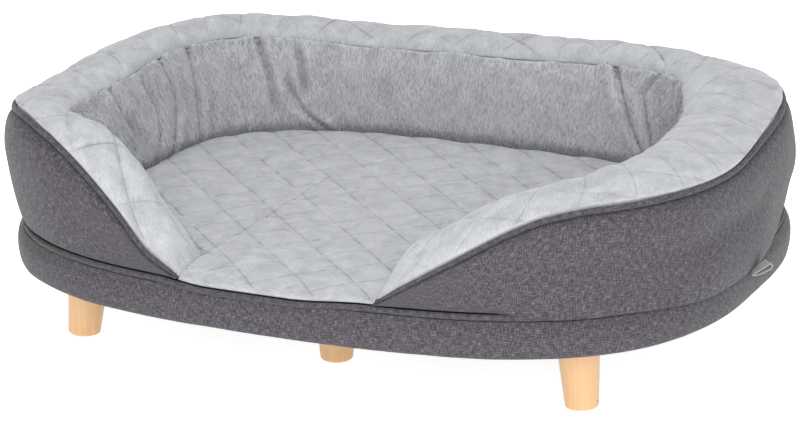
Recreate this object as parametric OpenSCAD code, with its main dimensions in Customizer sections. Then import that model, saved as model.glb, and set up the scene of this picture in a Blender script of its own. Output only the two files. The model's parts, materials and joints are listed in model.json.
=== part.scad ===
// Dog sofa bed: a quilted bolster bed that lifts out of an upholstered platform on six wooden legs.
// Millimetres, Z up. The origin is on the floor under the middle of the bed, and the front faces -Y.

/* [Outline] */
// Length of the platform, left to right
base_length = 944; // [860:2:1040]
// Depth of the platform, front to back
base_depth = 750; // [680:5:820]
// Power of the rounded outline: 2 is an ellipse, and higher is squarer
outline_power = 2.84; // [2.5:0.02:3.2]
// Width of the open mouth between the two arms
mouth_width = 270; // [220:2:330]

/* [Platform] */
// Thickness of the plywood board
board_thickness = 12; // [9:0.5:18]
// Thickness of the foam slab on the board
foam_thickness = 32; // [24:1:45]
// Thickness of the lining cloth
cloth_thickness = 1; // [0.6:0.1:1.5]
// Thickness of the woven linen
linen_thickness = 1.2; // [0.8:0.1:1.6]
// Thickness of the dust cover under the board
dust_cover_thickness = 0.6; // [0.4:0.1:1]
// How far the linen band swells past the outline
band_fullness = 7; // [3:0.5:10]
// Width of the linen that is folded in under the board
hem_width = 24; // [16:1:34]
// Diameter of the piping cord
welt_diameter = 7.5; // [6:0.25:9]

/* [Legs] */
// Height of the legs, from the floor to their flat tops
leg_height = 84; // [60:1:120]
// Diameter of a leg at its top
leg_top_diameter = 53; // [46:1:60]
// Diameter of a leg at the floor
leg_foot_diameter = 41; // [34:1:46]
// Rounding of a leg's lower edge
leg_edge_radius = 5; // [2:0.5:8]
// Outward lean of the four corner legs, in degrees
leg_splay = 6.5; // [0:0.5:9]
// Distance of a corner foot from the platform's left or right end
corner_foot_end_inset = 133; // [125:1:165]
// Distance of a corner foot from the platform's front or back
corner_foot_side_inset = 139; // [131:1:165]
// Distance of a middle foot from the platform's front or back
middle_foot_inset = 173; // [135:1:195]

/* [Leg fixings] */
// Diameter of a round steel leg plate
plate_diameter = 76; // [72:1:90]
// Thickness of a leg plate
plate_thickness = 2.5; // [2:0.25:4]
// Outer diameter of the threaded boss in a leg plate
boss_diameter = 14; // [12:0.5:18]
// Height of the boss above its plate
boss_height = 8; // [5:0.5:8.5]
// Diameter of a hanger bolt
bolt_diameter = 8; // [6:0.5:9]
// Depth of the hanger bolt in its leg
bolt_depth = 30; // [22:1:40]
// Diameter of the circle that the plate screws lie on
screw_circle = 63; // [61:0.5:66]
// Diameter of a plate screw's shank
screw_diameter = 3.5; // [3:0.25:4]
// Diameter of a plate screw's flat head
screw_head_diameter = 7; // [6:0.25:8]
// Length of a plate screw
screw_length = 12; // [9:0.5:13]

/* [Bolster] */
// Height from the bolster's foot to the welt, at the sides
wall_height = 130; // [115:1:150]
// Height from the bolster's foot to the crest of the plush crown, at the sides
crown_height = 155; // [150:1:180]
// How far the linen wall swells outward of the bolster's foot
wall_fullness = 18; // [8:0.5:22]
// Length over which an arm turns from facing the front to facing outward
arm_turn = 200; // [150:2:260]
// How unevenly the stuffed roll lies: 0 is the same on both sides, and 1 is slouched to the left
slouch = 1; // [0:0.1:1]
// Radius over which an arm's crown rounds down at its tip
tip_radius = 35; // [26:1:44]
// Thickness of the padded plush
plush_thickness = 8; // [5:0.5:10]
// Width of the bolster, from the outline to its inner seam
bolster_width = 97; // [85:1:110]
// How far the inner wall swells over the seat
inner_fullness = 6; // [2:0.5:9]
// Depth of a stitched quilting channel
quilt_depth = 3.5; // [1:0.25:5]
// Half the diagonal of a quilted diamond
quilt_step = 39.6; // [34:0.2:48]

/* [Seat pad] */
// Thickness of the seat pad at its edge
pad_edge = 9; // [7:0.5:12]
// Rise of the pad's middle over its edge
pad_crown = 7.5; // [4:0.5:12]
// Width over which the pad rises from its edge
pad_roll = 38; // [24:1:60]
// Thickness of the filling inside the pad
pad_filling = 5.5; // [3:0.5:6]

/* [Ribbon tab] */
// Length of the blank folded ribbon along the foot seam
tab_length = 45; // [25:1:60]
// Reach of the ribbon past the outline
tab_reach = 17; // [8:1:20]
// Thickness of the folded ribbon
tab_thickness = 0.8; // [0.5:0.1:1.2]
// Distance of the ribbon from the middle of the front, along the outline
tab_run = 655; // [500:5:800]

/* [Hidden] */
$fn = 64;

// Clearances: between sewn layers, between the bed and the platform, and round a fixing
layer_gap = 0.4;
rest_gap = 0.3;
thread_gap = 0.1;
overrun = 1;

// Heights of the stacked layers
board_z = leg_height + plate_thickness;
foam_z = board_z + board_thickness;
deck_z = foam_z + foam_thickness + cloth_thickness;
hem_z = board_z - linen_thickness;
base_welt_z = deck_z + rest_gap + welt_diameter / 2;
rim_top_z = base_welt_z + welt_diameter / 2;
bed_z = deck_z + rest_gap;
bed_floor_z = bed_z + cloth_thickness;
foot_z = rim_top_z + tab_thickness + 2 * rest_gap;

// Insets from the outline, measured square to it
welt_inset = welt_diameter / 2 + rest_gap;
board_inset = linen_thickness + layer_gap;
tray_inset = welt_inset + welt_diameter / 2 + 4 * layer_gap;
foot_inset = 2 * layer_gap + linen_thickness;
bolster_welt_inset = foot_inset + welt_diameter / 2;
seam_drop = (welt_diameter / 2 + 2 * layer_gap) / sqrt(2);
seam_inset = bolster_welt_inset + seam_drop;
crease_inset = bolster_width - 5 * layer_gap;
pad_inset = crease_inset + 3 * layer_gap;

// Shares of the heights and fullnesses that shape the soft walls: [height share, fullness share]
band_tuck_share = 0.3;
foam_inset = board_inset + band_tuck_share * band_fullness + layer_gap;
band_shares = [[0, 0], [0.2, 0.7], [0.5, 1], [0.8, 0.7], [1, -band_tuck_share]];
wall_shares = [[0.4, 0.7], [0.76, 1]];
inner_wall_shares = [[0.605, 0.85], [0.38, 1]];
inner_seam_share = 0.85;
arch_power_share = 0.5;
crown_points = 4;
welt_sides = 8;

// How the roll lies on its right and left side, by the share of the way from an arm's tip to the
// middle of the back: [way, welt's height, crest's height, width, outward lean, fullness]
right_lie = [
    [0, 0.054, 0.303, 0.814, 0, 0.5], [0.031, 0.227, 0.441, 0.866, 0, 0.5],
    [0.062, 0.408, 0.59, 0.918, 0, 0.6], [0.093, 0.582, 0.715, 0.969, 0, 0.65],
    [0.124, 0.746, 0.803, 1.01, 0.06, 0.7], [0.155, 0.862, 0.855, 1.052, 0.12, 0.75],
    [0.202, 0.931, 0.903, 1.082, 0.2, 0.78], [0.264, 0.942, 0.948, 1.124, 0.32, 0.8],
    [0.372, 0.931, 0.965, 1.165, 0.32, 0.8], [0.504, 0.985, 0.968, 1.237, 0.32, 0.8],
    [0.621, 1.015, 1.052, 1.216, 0.32, 0.9], [0.737, 0.954, 1.039, 1.072, 0.32, 1],
    [0.853, 0.931, 1, 0.979, 0.32, 1], [1, 0.931, 0.955, 0.979, 0.32, 1],
];
left_lie = [
    [0, 0.054, 0.206, 0.701, 0, 0.5], [0.031, 0.204, 0.397, 0.742, 0, 0.5],
    [0.062, 0.492, 0.658, 0.773, 0.12, 0.6], [0.093, 0.754, 0.865, 0.763, 0.3, 0.8],
    [0.124, 0.954, 0.994, 0.722, 0.45, 1.1], [0.155, 1.092, 1.058, 0.68, 0.6, 1.33],
    [0.202, 1.146, 1.077, 0.66, 0.7, 1.33], [0.264, 1.115, 1.032, 0.701, 0.7, 1.33],
    [0.372, 1.038, 0.981, 0.784, 0.65, 1.33], [0.504, 1, 1.032, 0.887, 0.6, 1.25],
    [0.621, 0.969, 1.045, 0.907, 0.5, 1.15], [0.737, 0.946, 1, 0.928, 0.42, 1.1],
    [0.853, 0.938, 0.942, 0.969, 0.36, 1.05], [1, 0.931, 0.955, 0.979, 0.32, 1],
];
facing_thickness = tip_radius / 9;
tip_step = tip_radius / 4;
tip_overhang = tip_radius / 6;

// Small vector helpers
function signed_power(v, p) = sign(v) * pow(abs(v), p);
function clamp(v, low, high) = max(low, min(high, v));
function smooth(t) = let (c = clamp(t, 0, 1)) c * c * (3 - 2 * c);
function mix(a, b, t) = a + (b - a) * t;
function unit(v) = v / norm(v);
function right_of(v) = unit([v.y, -v.x]);
function flatten(lists) = [for (list = lists) for (item = list) item];

// The outline is a superellipse, walked by its length from the middle of the front
rim_steps = 360;
function rim_point(a) = [
    base_length / 2 * signed_power(cos(a), 2 / outline_power),
    base_depth / 2 * signed_power(sin(a), 2 / outline_power),
];
function rim_outward(a) = unit([
    signed_power(cos(a), 2 - 2 / outline_power) / base_length,
    signed_power(sin(a), 2 - 2 / outline_power) / base_depth,
]);
function walked(points) = [
    for (i = 0, run = 0; i < len(points);
        run = run + (i + 1 < len(points) ? norm(points[i + 1] - points[i]) : 0), i = i + 1) run
];
rim_angles = [for (i = [0 : rim_steps]) 360 * i / rim_steps - 90];
rim_trace = [for (a = rim_angles) rim_point(a)];
rim_runs = walked(rim_trace);
rim_length = rim_runs[rim_steps];
angle_table = [for (i = [0 : rim_steps]) [rim_runs[i], rim_angles[i]]];
mouth_table = [for (i = [0 : rim_steps / 4]) [rim_trace[i].x, rim_runs[i]]];
function rim_angle(run) = lookup(run, angle_table);

// Stations keep the pace of the quilting, and there is one at each quarter of the outline
station_count = 4 * round(rim_length / quilt_step / 4);
station_step = rim_length / station_count;
tip_run = lookup(mouth_width / 2, mouth_table);
first_station = ceil((tip_run + 2 * tip_step) / station_step);
last_station = station_count - first_station;

// Distance along the outline from the nearer arm tip
function tip_distance(run) = min(run, rim_length - run) - tip_run;

// Direction square to the outline, turned square to the front near the arm tips
function arm_outward(run) = let (
    a = rim_angle(run),
    turn = smooth(tip_distance(run) / arm_turn)
) unit(mix([0, -1], rim_outward(a), turn));

// Stands a list of [inset, height] points up at a run along the outline
function placed(run, outward, rows) = let (p = rim_point(rim_angle(run)))
    [for (row = rows) [p.x - row[0] * outward.x, p.y - row[0] * outward.y, row[1]]];
function ring_section(run, rows) = placed(run, rim_outward(rim_angle(run)), rows);
function arm_section(run, rows) = placed(run, arm_outward(run), rows);

// Stations of the bolster, [run, quilting phase], where a phase of -1 has no quilting
arm_stations = [
    [tip_run + tip_step, -1], [first_station * station_step, -1],
    [(first_station + 0.5) * station_step, -1],
];
tip_stations = concat([[tip_run - facing_thickness, -1], [tip_run, -1]], arm_stations);
back_stations = [for (i = [first_station + 1 : last_station - 1]) [i * station_step, i % 2]];
function far_side(stations) = [
    for (i = [len(stations) - 1 : -1 : 0]) [rim_length - stations[i][0], stations[i][1]]
];
skin_stations = concat(tip_stations, back_stations, far_side(tip_stations));
filling_stations = concat(arm_stations, back_stations, far_side(arm_stations));
ring_runs = [for (i = [0 : station_count - 1]) i * station_step];

// Rounding down of an arm's crown at its tip
function tip_rounding(d) = let (t = clamp((d + tip_overhang) / tip_radius, 0, 1))
    sqrt(1 - pow(1 - t, 2));

// How the roll lies at a run: [welt's height, crest's height, width, welt's inset, fullness]
function lie_share(run, k) = let (
    way = tip_distance(run) / (rim_length / 2 - tip_run),
    right = lookup(way, [for (row = right_lie) [row[0], row[k]]]),
    left = lookup(way, [for (row = left_lie) [row[0], row[k]]])
) mix((right + left) / 2, run < rim_length / 2 ? right : left, slouch);
function roll_at(run) = [
    wall_height * lie_share(run, 1),
    crown_height * lie_share(run, 2) * tip_rounding(tip_distance(run)),
    bolster_width * lie_share(run, 3),
    bolster_welt_inset - wall_fullness * lie_share(run, 4),
    wall_fullness * lie_share(run, 5),
];
function seam_height(roll) = roll[0] - seam_drop;
function wall_fill(roll) = min(1, seam_height(roll) / (wall_height - seam_drop));
function plush_here(roll) = plush_thickness * min(1, roll[1] / (5 * plush_thickness));

// Outer faces of the bolster's three panels, as [inset, height] rows with the filling on the right
function cover_rows(roll) = let (tall = seam_height(roll)) concat(
    [[tray_inset, bed_floor_z], [tray_inset, foot_z], [foot_inset, foot_z]],
    [for (s = wall_shares) [foot_inset - roll[4] * wall_fill(roll) * s[1], foot_z + tall * s[0]]],
    [[roll[3] + seam_drop, foot_z + tall]]
);
function quilt_dip(phase, j) =
    phase >= 0 && j % crown_points != 0 && (phase + j) % 2 == 0 ? quilt_depth : 0;
function top_rows(roll, phase) = let (
    low = seam_height(roll),
    high = roll[1],
    inner = high * inner_seam_share,
    lift = high - (low + inner) / 2
) [
    for (j = [0 : crown_points]) let (
        u = j / crown_points,
        arch = pow(1 - pow(2 * u - 1, 2), arch_power_share)
    ) [
        mix(roll[3] + seam_drop, roll[2], u),
        foot_z + mix(low, inner, u) + lift * arch - quilt_dip(phase, j),
    ]
];
function inner_rows(roll) = let (high = roll[1]) concat(
    [[roll[2], foot_z + high * inner_seam_share]],
    [for (s = inner_wall_shares) [
        mix(crease_inset, roll[2], s[0] / inner_seam_share) + inner_fullness * wall_fill(roll) * s[1],
        foot_z + high * s[0],
    ]],
    [[crease_inset, foot_z + high * inner_wall_shares[1][0] / 4], [crease_inset, bed_floor_z]]
);

// Inner faces: each row moved to its right by a thickness, with the two end directions given
function thickened(rows, thickness, first, last) = [
    for (i = [0 : len(rows) - 1])
        i == 0 ? rows[i] + thickness * first
        : i == len(rows) - 1 ? rows[i] + thickness * last
        : let (a = right_of(rows[i] - rows[i - 1]), b = right_of(rows[i + 1] - rows[i]))
            rows[i] + thickness * (a + b) / (1 + a * b)
];
outer_seam_way = unit([0.83, -0.55]);
inner_seam_way = unit([-0.85, -0.5]);
function cover_back(roll, thickness) =
    thickened(cover_rows(roll), thickness, [1, 0], outer_seam_way);
function top_back(roll, thickness) =
    thickened(top_rows(roll, -1), thickness, outer_seam_way, inner_seam_way);
function inner_back(roll, thickness) =
    thickened(inner_rows(roll), thickness, inner_seam_way, [-1, 0]);

// A section's loop from its outer rows and its inner rows
function looped(outer, inner) = concat(outer, [for (i = [len(inner) - 1 : -1 : 0]) inner[i]]);
function lifted(row) = [row[0], max(row[1], bed_floor_z + layer_gap)];
function filling_loop(roll) = let (
    cover = cover_back(roll, linen_thickness + layer_gap),
    top = top_back(roll, plush_here(roll) + layer_gap),
    inner = inner_back(roll, plush_here(roll) + layer_gap)
) [
    top[2], top[3], inner[1], inner[2], inner[3], lifted(inner[4]),
    lifted(cover[0]), cover[1], cover[2], cover[3], cover[4], top[0], top[1],
];
function welt_loop(inset, z) = [
    for (k = [0 : welt_sides - 1]) let (a = 360 * k / welt_sides)
        [inset - welt_diameter / 2 * cos(a), z + welt_diameter / 2 * sin(a)]
];

// Skins a list of sections, each a loop of points, taken anticlockwise round the outline. A solid
// core's ends are fans, and a panel's are strips. Phases turn the outer face's creases so that
// they follow the quilting
module swept(sections, ring = false, core = false, phases = []) {
    n = len(sections[0]);
    leans = function(s, j) let (quilted = len(phases) > 0 && phases[s] >= 0)
        core || j == n / 2 - 1 || (j < n / 2 && (!quilted || (phases[s] + j) % 2 == 0));
    spans = len(sections) - (ring ? 0 : 1);
    at = function(s, j) (s % len(sections)) * n + j % n;
    sides = flatten([
        for (s = [0 : spans - 1]) for (j = [0 : n - 1]) let (
            a = at(s, j), b = at(s, j + 1), c = at(s + 1, j + 1), d = at(s + 1, j)
        ) leans(s, j) ? [[a, c, d], [a, b, c]] : [[a, b, d], [d, b, c]]
    ]);
    last = len(sections) - 1;
    fans = [[for (j = [0 : -1 : 1 - n]) at(0, j + n)], [for (j = [0 : n - 1]) at(last, j)]];
    strips = [
        for (j = [0 : n / 2 - 2]) each [
            [at(0, n - 1 - j), at(0, n - 2 - j), at(0, j + 1), at(0, j)],
            [at(last, j), at(last, j + 1), at(last, n - 2 - j), at(last, n - 1 - j)],
        ]
    ];
    polyhedron(points = flatten(sections), faces = concat(sides, ring ? [] : core ? fans : strips));
}

// Closed outline at an inset
function rim_loop(inset) = [
    for (run = ring_runs) let (p = ring_section(run, [[inset, 0]])[0]) [p.x, p.y]
];

// Direction in which the corner legs lean outward
lean_x = 0.82;
lean_y = 0.57;

// Places of the six legs: [foot x, foot y, lean, direction of the lean]
corner_foot_x = base_length / 2 - corner_foot_end_inset;
corner_foot_y = base_depth / 2 - corner_foot_side_inset;
middle_foot_y = base_depth / 2 - middle_foot_inset;
leg_places = [
    [-corner_foot_x, -corner_foot_y, leg_splay, atan2(-lean_y, -lean_x)],
    [0, -middle_foot_y, 0, 0],
    [corner_foot_x, -corner_foot_y, leg_splay, atan2(-lean_y, lean_x)],
    [-corner_foot_x, corner_foot_y, leg_splay, atan2(lean_y, -lean_x)],
    [0, middle_foot_y, 0, 0],
    [corner_foot_x, corner_foot_y, leg_splay, atan2(lean_y, lean_x)],
];
function plate_centre(leg) = [
    leg[0] - leg_height * tan(leg[2]) * cos(leg[3]),
    leg[1] - leg_height * tan(leg[2]) * sin(leg[3]),
];

// Puts children at a leg's top, with +Z along the leg's own axis
module on_leg_axis(leg) {
    translate([plate_centre(leg).x, plate_centre(leg).y, leg_height])
        rotate([0, 0, leg[3]])
            rotate([0, -leg[2], 0])
                children();
}

// Screw places round a leg plate
module at_screws() {
    for (k = [0 : 3])
        rotate([0, 0, 90 * k])
            translate([screw_circle / 2, 0, 0])
                children();
}

// Platform
module board_openings() {
    pilot_diameter = screw_diameter + 2 * thread_gap;
    pilot_depth = screw_length - plate_thickness + layer_gap;
    for (leg = leg_places)
        translate([plate_centre(leg).x, plate_centre(leg).y, board_z - overrun]) {
            boss_room = 4 * layer_gap + 2 * boss_height * sin(leg[2]);
            cylinder(d = boss_diameter + boss_room, h = board_thickness + 2 * overrun);
            at_screws()
                cylinder(d = pilot_diameter, h = pilot_depth + overrun);
        }
}

module platform_board() {
    color("burlywood")
        difference() {
            translate([0, 0, board_z])
                linear_extrude(board_thickness)
                    polygon(rim_loop(board_inset));
            board_openings();
        }
}

module base_foam() {
    color("khaki")
        translate([0, 0, foam_z])
            linear_extrude(foam_thickness)
                polygon(rim_loop(foam_inset));
}

module deck_cloth() {
    color("dimgray")
        translate([0, 0, deck_z - cloth_thickness])
            linear_extrude(cloth_thickness)
                polygon(rim_loop(foam_inset));
}

function band_rows() = concat(
    [[hem_width, hem_z]],
    [for (s = band_shares) [-band_fullness * s[1], mix(hem_z, deck_z, s[0])]]
);

module side_band() {
    back = thickened(band_rows(), linen_thickness, [0, 1], [1, 0]);
    color("dimgray")
        swept([for (run = ring_runs) ring_section(run, looped(band_rows(), back))], ring = true);
}

module base_welt() {
    color("slategray")
        swept(
            [for (run = ring_runs) ring_section(run, welt_loop(welt_inset, base_welt_z))],
            ring = true, core = true
        );
}

module dust_cover() {
    plate_room = plate_diameter + 4 * layer_gap;
    color("black")
        translate([0, 0, hem_z - dust_cover_thickness])
            difference() {
                linear_extrude(dust_cover_thickness)
                    polygon(rim_loop(hem_width / 2));
                for (leg = leg_places)
                    translate([plate_centre(leg).x, plate_centre(leg).y, -overrun])
                        cylinder(d = plate_room, h = dust_cover_thickness + 2 * overrun);
            }
}

// Turned leg on its own axis, from below the floor to above its top, cut flat at both
module turned_leg(leg) {
    foot_drop = leg_foot_diameter / 2 * sin(leg[2]);
    reach = leg_height / cos(leg[2]);
    foot_radius = leg_foot_diameter / 2;
    top_radius = leg_top_diameter / 2;
    color("wheat")
        difference() {
            intersection() {
                on_leg_axis(leg)
                    rotate_extrude()
                        polygon(concat(
                            [[0, -reach - foot_drop]],
                            [for (a = [-90 : 15 : 0]) [
                                foot_radius - leg_edge_radius * (1 - cos(a)),
                                leg_edge_radius * (1 + sin(a)) - reach - foot_drop,
                            ]],
                            [[top_radius, 0], [top_radius, top_radius], [0, top_radius]]
                        ));
                translate([-base_length / 2, -base_depth / 2, 0])
                    cube([base_length, base_depth, leg_height]);
            }
            on_leg_axis(leg)
                translate([0, 0, -bolt_depth])
                    cylinder(d = bolt_diameter + 2 * thread_gap, h = bolt_depth + bolt_diameter);
        }
}
module leg_front_left() { turned_leg(leg_places[0]); }
module leg_front_middle() { turned_leg(leg_places[1]); }
module leg_front_right() { turned_leg(leg_places[2]); }
module leg_rear_left() { turned_leg(leg_places[3]); }
module leg_rear_middle() { turned_leg(leg_places[4]); }
module leg_rear_right() { turned_leg(leg_places[5]); }

// Leg plate: a round disc with four countersunk holes and a threaded boss along the leg's axis
screw_sink = (screw_head_diameter - screw_diameter) / 2;
module leg_plate(leg) {
    bore = bolt_diameter + 2 * thread_gap;
    hole = screw_diameter + 2 * thread_gap;
    difference() {
        union() {
            translate([plate_centre(leg).x, plate_centre(leg).y, leg_height])
                cylinder(d = plate_diameter, h = plate_thickness);
            intersection() {
                on_leg_axis(leg)
                    cylinder(d = boss_diameter, h = plate_thickness + boss_height);
                translate([-base_length / 2, -base_depth / 2, leg_height])
                    cube([base_length, base_depth, plate_thickness + board_thickness]);
            }
        }
        on_leg_axis(leg)
            translate([0, 0, -bolt_diameter])
                cylinder(d = bore, h = plate_thickness + boss_height + 2 * bolt_diameter);
        translate([plate_centre(leg).x, plate_centre(leg).y, leg_height])
            at_screws() {
                translate([0, 0, -overrun])
                    cylinder(d = hole, h = plate_thickness + 2 * overrun);
                cylinder(d1 = screw_head_diameter + 2 * thread_gap, d2 = hole, h = screw_sink);
            }
    }
}

module leg_plates() {
    color("silver")
        for (leg = leg_places)
            leg_plate(leg);
}

module hanger_bolts() {
    bolt_reach = plate_thickness + boss_height;
    color("gray")
        for (leg = leg_places)
            on_leg_axis(leg)
                translate([0, 0, layer_gap - bolt_depth])
                    cylinder(d = bolt_diameter, h = bolt_depth - layer_gap + bolt_reach);
}

module plate_screws() {
    color("gray")
        for (leg = leg_places)
            translate([plate_centre(leg).x, plate_centre(leg).y, leg_height])
                at_screws()
                    rotate_extrude()
                        polygon([
                            [0, 0], [screw_head_diameter / 2, 0], [screw_diameter / 2, screw_sink],
                            [screw_diameter / 2, screw_length - screw_diameter / 2], [0, screw_length],
                        ]);
}

// Bolster
module bolster_filling() {
    color("whitesmoke")
        swept(
            [for (s = filling_stations) arm_section(s[0], filling_loop(roll_at(s[0])))],
            core = true
        );
}

module bolster_outer_cover() {
    color("dimgray")
        swept([
            for (s = skin_stations) let (roll = roll_at(s[0]))
                arm_section(s[0], looped(cover_rows(roll), cover_back(roll, linen_thickness)))
        ]);
}

module bolster_top_panel() {
    color("lightgray")
        swept([
            for (s = skin_stations) let (roll = roll_at(s[0]))
                arm_section(s[0], looped(top_rows(roll, s[1]), top_back(roll, plush_here(roll))))
        ], phases = [for (s = skin_stations) s[1]]);
}

// The inner wall, with the two facings that close the arm ends
module bolster_inner_panel() {
    facings = [
        [tip_run - facing_thickness, tip_run],
        [rim_length - tip_run, rim_length - tip_run + facing_thickness],
    ];
    color("silver") {
        swept([
            for (s = skin_stations) let (roll = roll_at(s[0]))
                arm_section(s[0], looped(inner_rows(roll), inner_back(roll, plush_here(roll))))
        ]);
        for (facing = facings)
            swept([for (run = facing) arm_section(run, filling_loop(roll_at(run)))], core = true);
    }
}

module bolster_welt() {
    cord_stations = [for (s = skin_stations) if (tip_distance(s[0]) >= 0) s[0]];
    color("slategray")
        swept([
            for (run = cord_stations) let (roll = roll_at(run))
                arm_section(run, welt_loop(roll[3], foot_z + roll[0]))
        ], core = true);
}

module bolster_base_cloth() {
    outer = [for (s = skin_stations) arm_section(s[0], [[tray_inset, 0]])[0]];
    inner = [for (s = skin_stations) arm_section(s[0], [[crease_inset, 0]])[0]];
    color("gray")
        translate([0, 0, bed_z])
            linear_extrude(cloth_thickness)
                polygon([for (p = looped(outer, inner)) [p.x, p.y]]);
}

// Seat pad: columns across the seat, where each one runs from the front edge to the back edge
tongue_half = mouth_width / 2 - facing_thickness - 2 * layer_gap;
function depth_table(inset) = [for (a = [90 : -2 : 0]) rim_point(a) - inset * rim_outward(a)];
pad_table = depth_table(pad_inset);
tongue_table = depth_table(tray_inset);
function pad_back(x) = lookup(abs(x), pad_table);
function pad_front(x) = -lookup(abs(x), abs(x) <= tongue_half ? tongue_table : pad_table);
last_column_share = 0.985;
pad_half_length = base_length / 2 - pad_inset;
last_column = last_column_share * pad_half_length;
pad_columns = floor(pad_half_length / quilt_step - 0.4);
half_columns = concat(
    [for (i = [0 : floor(tongue_half / quilt_step)]) i * quilt_step],
    [tongue_half, tongue_half + layer_gap],
    [for (i = [floor(tongue_half / quilt_step) + 1 : pad_columns]) i * quilt_step],
    [last_column]
);
columns = concat([for (i = [len(half_columns) - 1 : -1 : 1]) -half_columns[i]], half_columns);
rows_each_way = ceil(base_depth / 2 / quilt_step);

module seat_pad_slab(z, thickness) {
    front = [for (x = columns) [x, pad_front(x)]];
    back = [for (x = columns) [x, pad_back(x)]];
    color("whitesmoke")
        translate([0, 0, z])
            linear_extrude(thickness)
                polygon(looped(front, back));
}

module seat_pad_backing() { seat_pad_slab(bed_z, cloth_thickness); }
module seat_pad_filling() { seat_pad_slab(bed_floor_z, pad_filling); }

// Quilted plush: a grid whose crossings are sewn down, clamped to the pad's edge
module seat_pad_cover() {
    low_z = bed_floor_z + pad_filling;
    edge_z = bed_z + pad_edge;
    from_seam = function(v) abs(v / (2 * quilt_step) - round(v / (2 * quilt_step)));
    height_at = function(x, y, to_edge)
        edge_z + (pad_crown - quilt_depth * (1 - 2 * min(from_seam(x + y), from_seam(x - y))))
            * smooth(to_edge / pad_roll);
    grid = [
        for (x = columns) let (front = pad_front(x), back = pad_back(x)) [
            for (j = [-rows_each_way : rows_each_way]) let (y = clamp(j * quilt_step, front, back))
                [x, y, height_at(x, y, min(y - front, back - y, last_column - abs(x)))]
        ]
    ];
    n = 2 * rows_each_way + 1;
    count = len(grid);
    edges = [for (c = grid) for (j = [0, n - 1]) [c[j].x, c[j].y, low_z]];
    points = concat(flatten(grid), edges);
    top = function(i, j) i * n + j;
    low = function(i, side) count * n + 2 * i + side;
    tops = [
        for (i = [0 : count - 2]) for (j = [0 : n - 2]) let (
            a = top(i, j), b = top(i + 1, j), c = top(i + 1, j + 1), d = top(i, j + 1),
            valley = points[a].z + points[c].z < points[b].z + points[d].z
        ) each valley ? [[a, c, b], [a, d, c]] : [[a, d, b], [b, d, c]]
    ];
    lows = [for (i = [0 : count - 2]) [low(i, 0), low(i + 1, 0), low(i + 1, 1), low(i, 1)]];
    fronts = [for (i = [0 : count - 2]) [low(i, 0), top(i, 0), top(i + 1, 0), low(i + 1, 0)]];
    backs = [for (i = [0 : count - 2]) [low(i, 1), low(i + 1, 1), top(i + 1, n - 1), top(i, n - 1)]];
    right = count - 1;
    left_end = concat([low(0, 0), low(0, 1)], [for (j = [n - 1 : -1 : 0]) top(0, j)]);
    right_end = concat([low(right, 1), low(right, 0)], [for (j = [0 : n - 1]) top(right, j)]);
    whole = function(f) let (a = points[f[0]]) norm(cross(points[f[1]] - a, points[f[2]] - a)) > 0;
    color("lightgray")
        polyhedron(points = points, faces = concat(
            [for (f = tops) if (whole(f)) f], lows, fronts, backs, [left_end, right_end]
        ));
}

// Blank ribbon, folded flat and sewn into the bolster's foot seam
module side_tab() {
    p = rim_point(rim_angle(tab_run));
    way = rim_outward(rim_angle(tab_run));
    color("gainsboro")
        translate([p.x, p.y, rim_top_z + rest_gap])
            rotate([0, 0, atan2(way.y, way.x)])
                translate([-tray_inset + layer_gap, -tab_length / 2, 0])
                    cube([tray_inset - layer_gap + tab_reach, tab_length, tab_thickness]);
}

platform_board();
base_foam();
deck_cloth();
side_band();
base_welt();
dust_cover();
leg_front_left();
leg_front_middle();
leg_front_right();
leg_rear_left();
leg_rear_middle();
leg_rear_right();
leg_plates();
hanger_bolts();
plate_screws();
bolster_filling();
bolster_outer_cover();
bolster_welt();
bolster_top_panel();
bolster_inner_panel();
bolster_base_cloth();
seat_pad_filling();
seat_pad_cover();
seat_pad_backing();
side_tab();
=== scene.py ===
"""Looks of a dog sofa bed: a quilted plush bolster bed on an upholstered platform with wooden legs.

Sizes are in millimetres until a mesh is made, and meshes are in metres. The origin is on the floor
under the middle of the bed, +Z is up, and the open mouth between the arms faces -Y.
"""

from __future__ import annotations

import json
import logging
import math
from dataclasses import dataclass, field
from enum import Enum
from typing import Any, Sequence

import bpy
import numpy as np
from bpy.types import Material, Mesh, Node, NodeSocket, NodeTree, Object
from mathutils import Matrix, Vector

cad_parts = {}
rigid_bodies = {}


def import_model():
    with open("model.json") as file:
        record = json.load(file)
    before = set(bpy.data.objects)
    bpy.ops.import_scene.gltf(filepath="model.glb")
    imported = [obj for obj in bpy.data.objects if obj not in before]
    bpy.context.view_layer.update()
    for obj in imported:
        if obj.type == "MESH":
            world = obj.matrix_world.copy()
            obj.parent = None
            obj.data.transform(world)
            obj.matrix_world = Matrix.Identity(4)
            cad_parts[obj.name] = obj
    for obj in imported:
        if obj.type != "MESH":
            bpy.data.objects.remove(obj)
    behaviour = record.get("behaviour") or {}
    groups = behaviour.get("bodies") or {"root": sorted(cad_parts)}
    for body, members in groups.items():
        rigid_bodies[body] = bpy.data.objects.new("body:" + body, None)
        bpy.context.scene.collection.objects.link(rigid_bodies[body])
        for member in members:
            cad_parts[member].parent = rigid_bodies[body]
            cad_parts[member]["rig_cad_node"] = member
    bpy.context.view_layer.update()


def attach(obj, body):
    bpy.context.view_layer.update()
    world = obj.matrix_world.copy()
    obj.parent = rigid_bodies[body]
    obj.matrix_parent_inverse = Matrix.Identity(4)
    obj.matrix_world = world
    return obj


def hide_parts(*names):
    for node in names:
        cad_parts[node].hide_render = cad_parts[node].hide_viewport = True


LOG = logging.getLogger("dog_sofa_bed")
MM = 0.001
STITCH_GAP = 4.6
# Layers of lumps, each with its height, size, seed and stretch
Layers = tuple[tuple[float, float, int, float], ...]


class Body(Enum):
    """The two bodies that the pieces ride on."""

    PLATFORM = "platform"
    BED = "bed"


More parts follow.
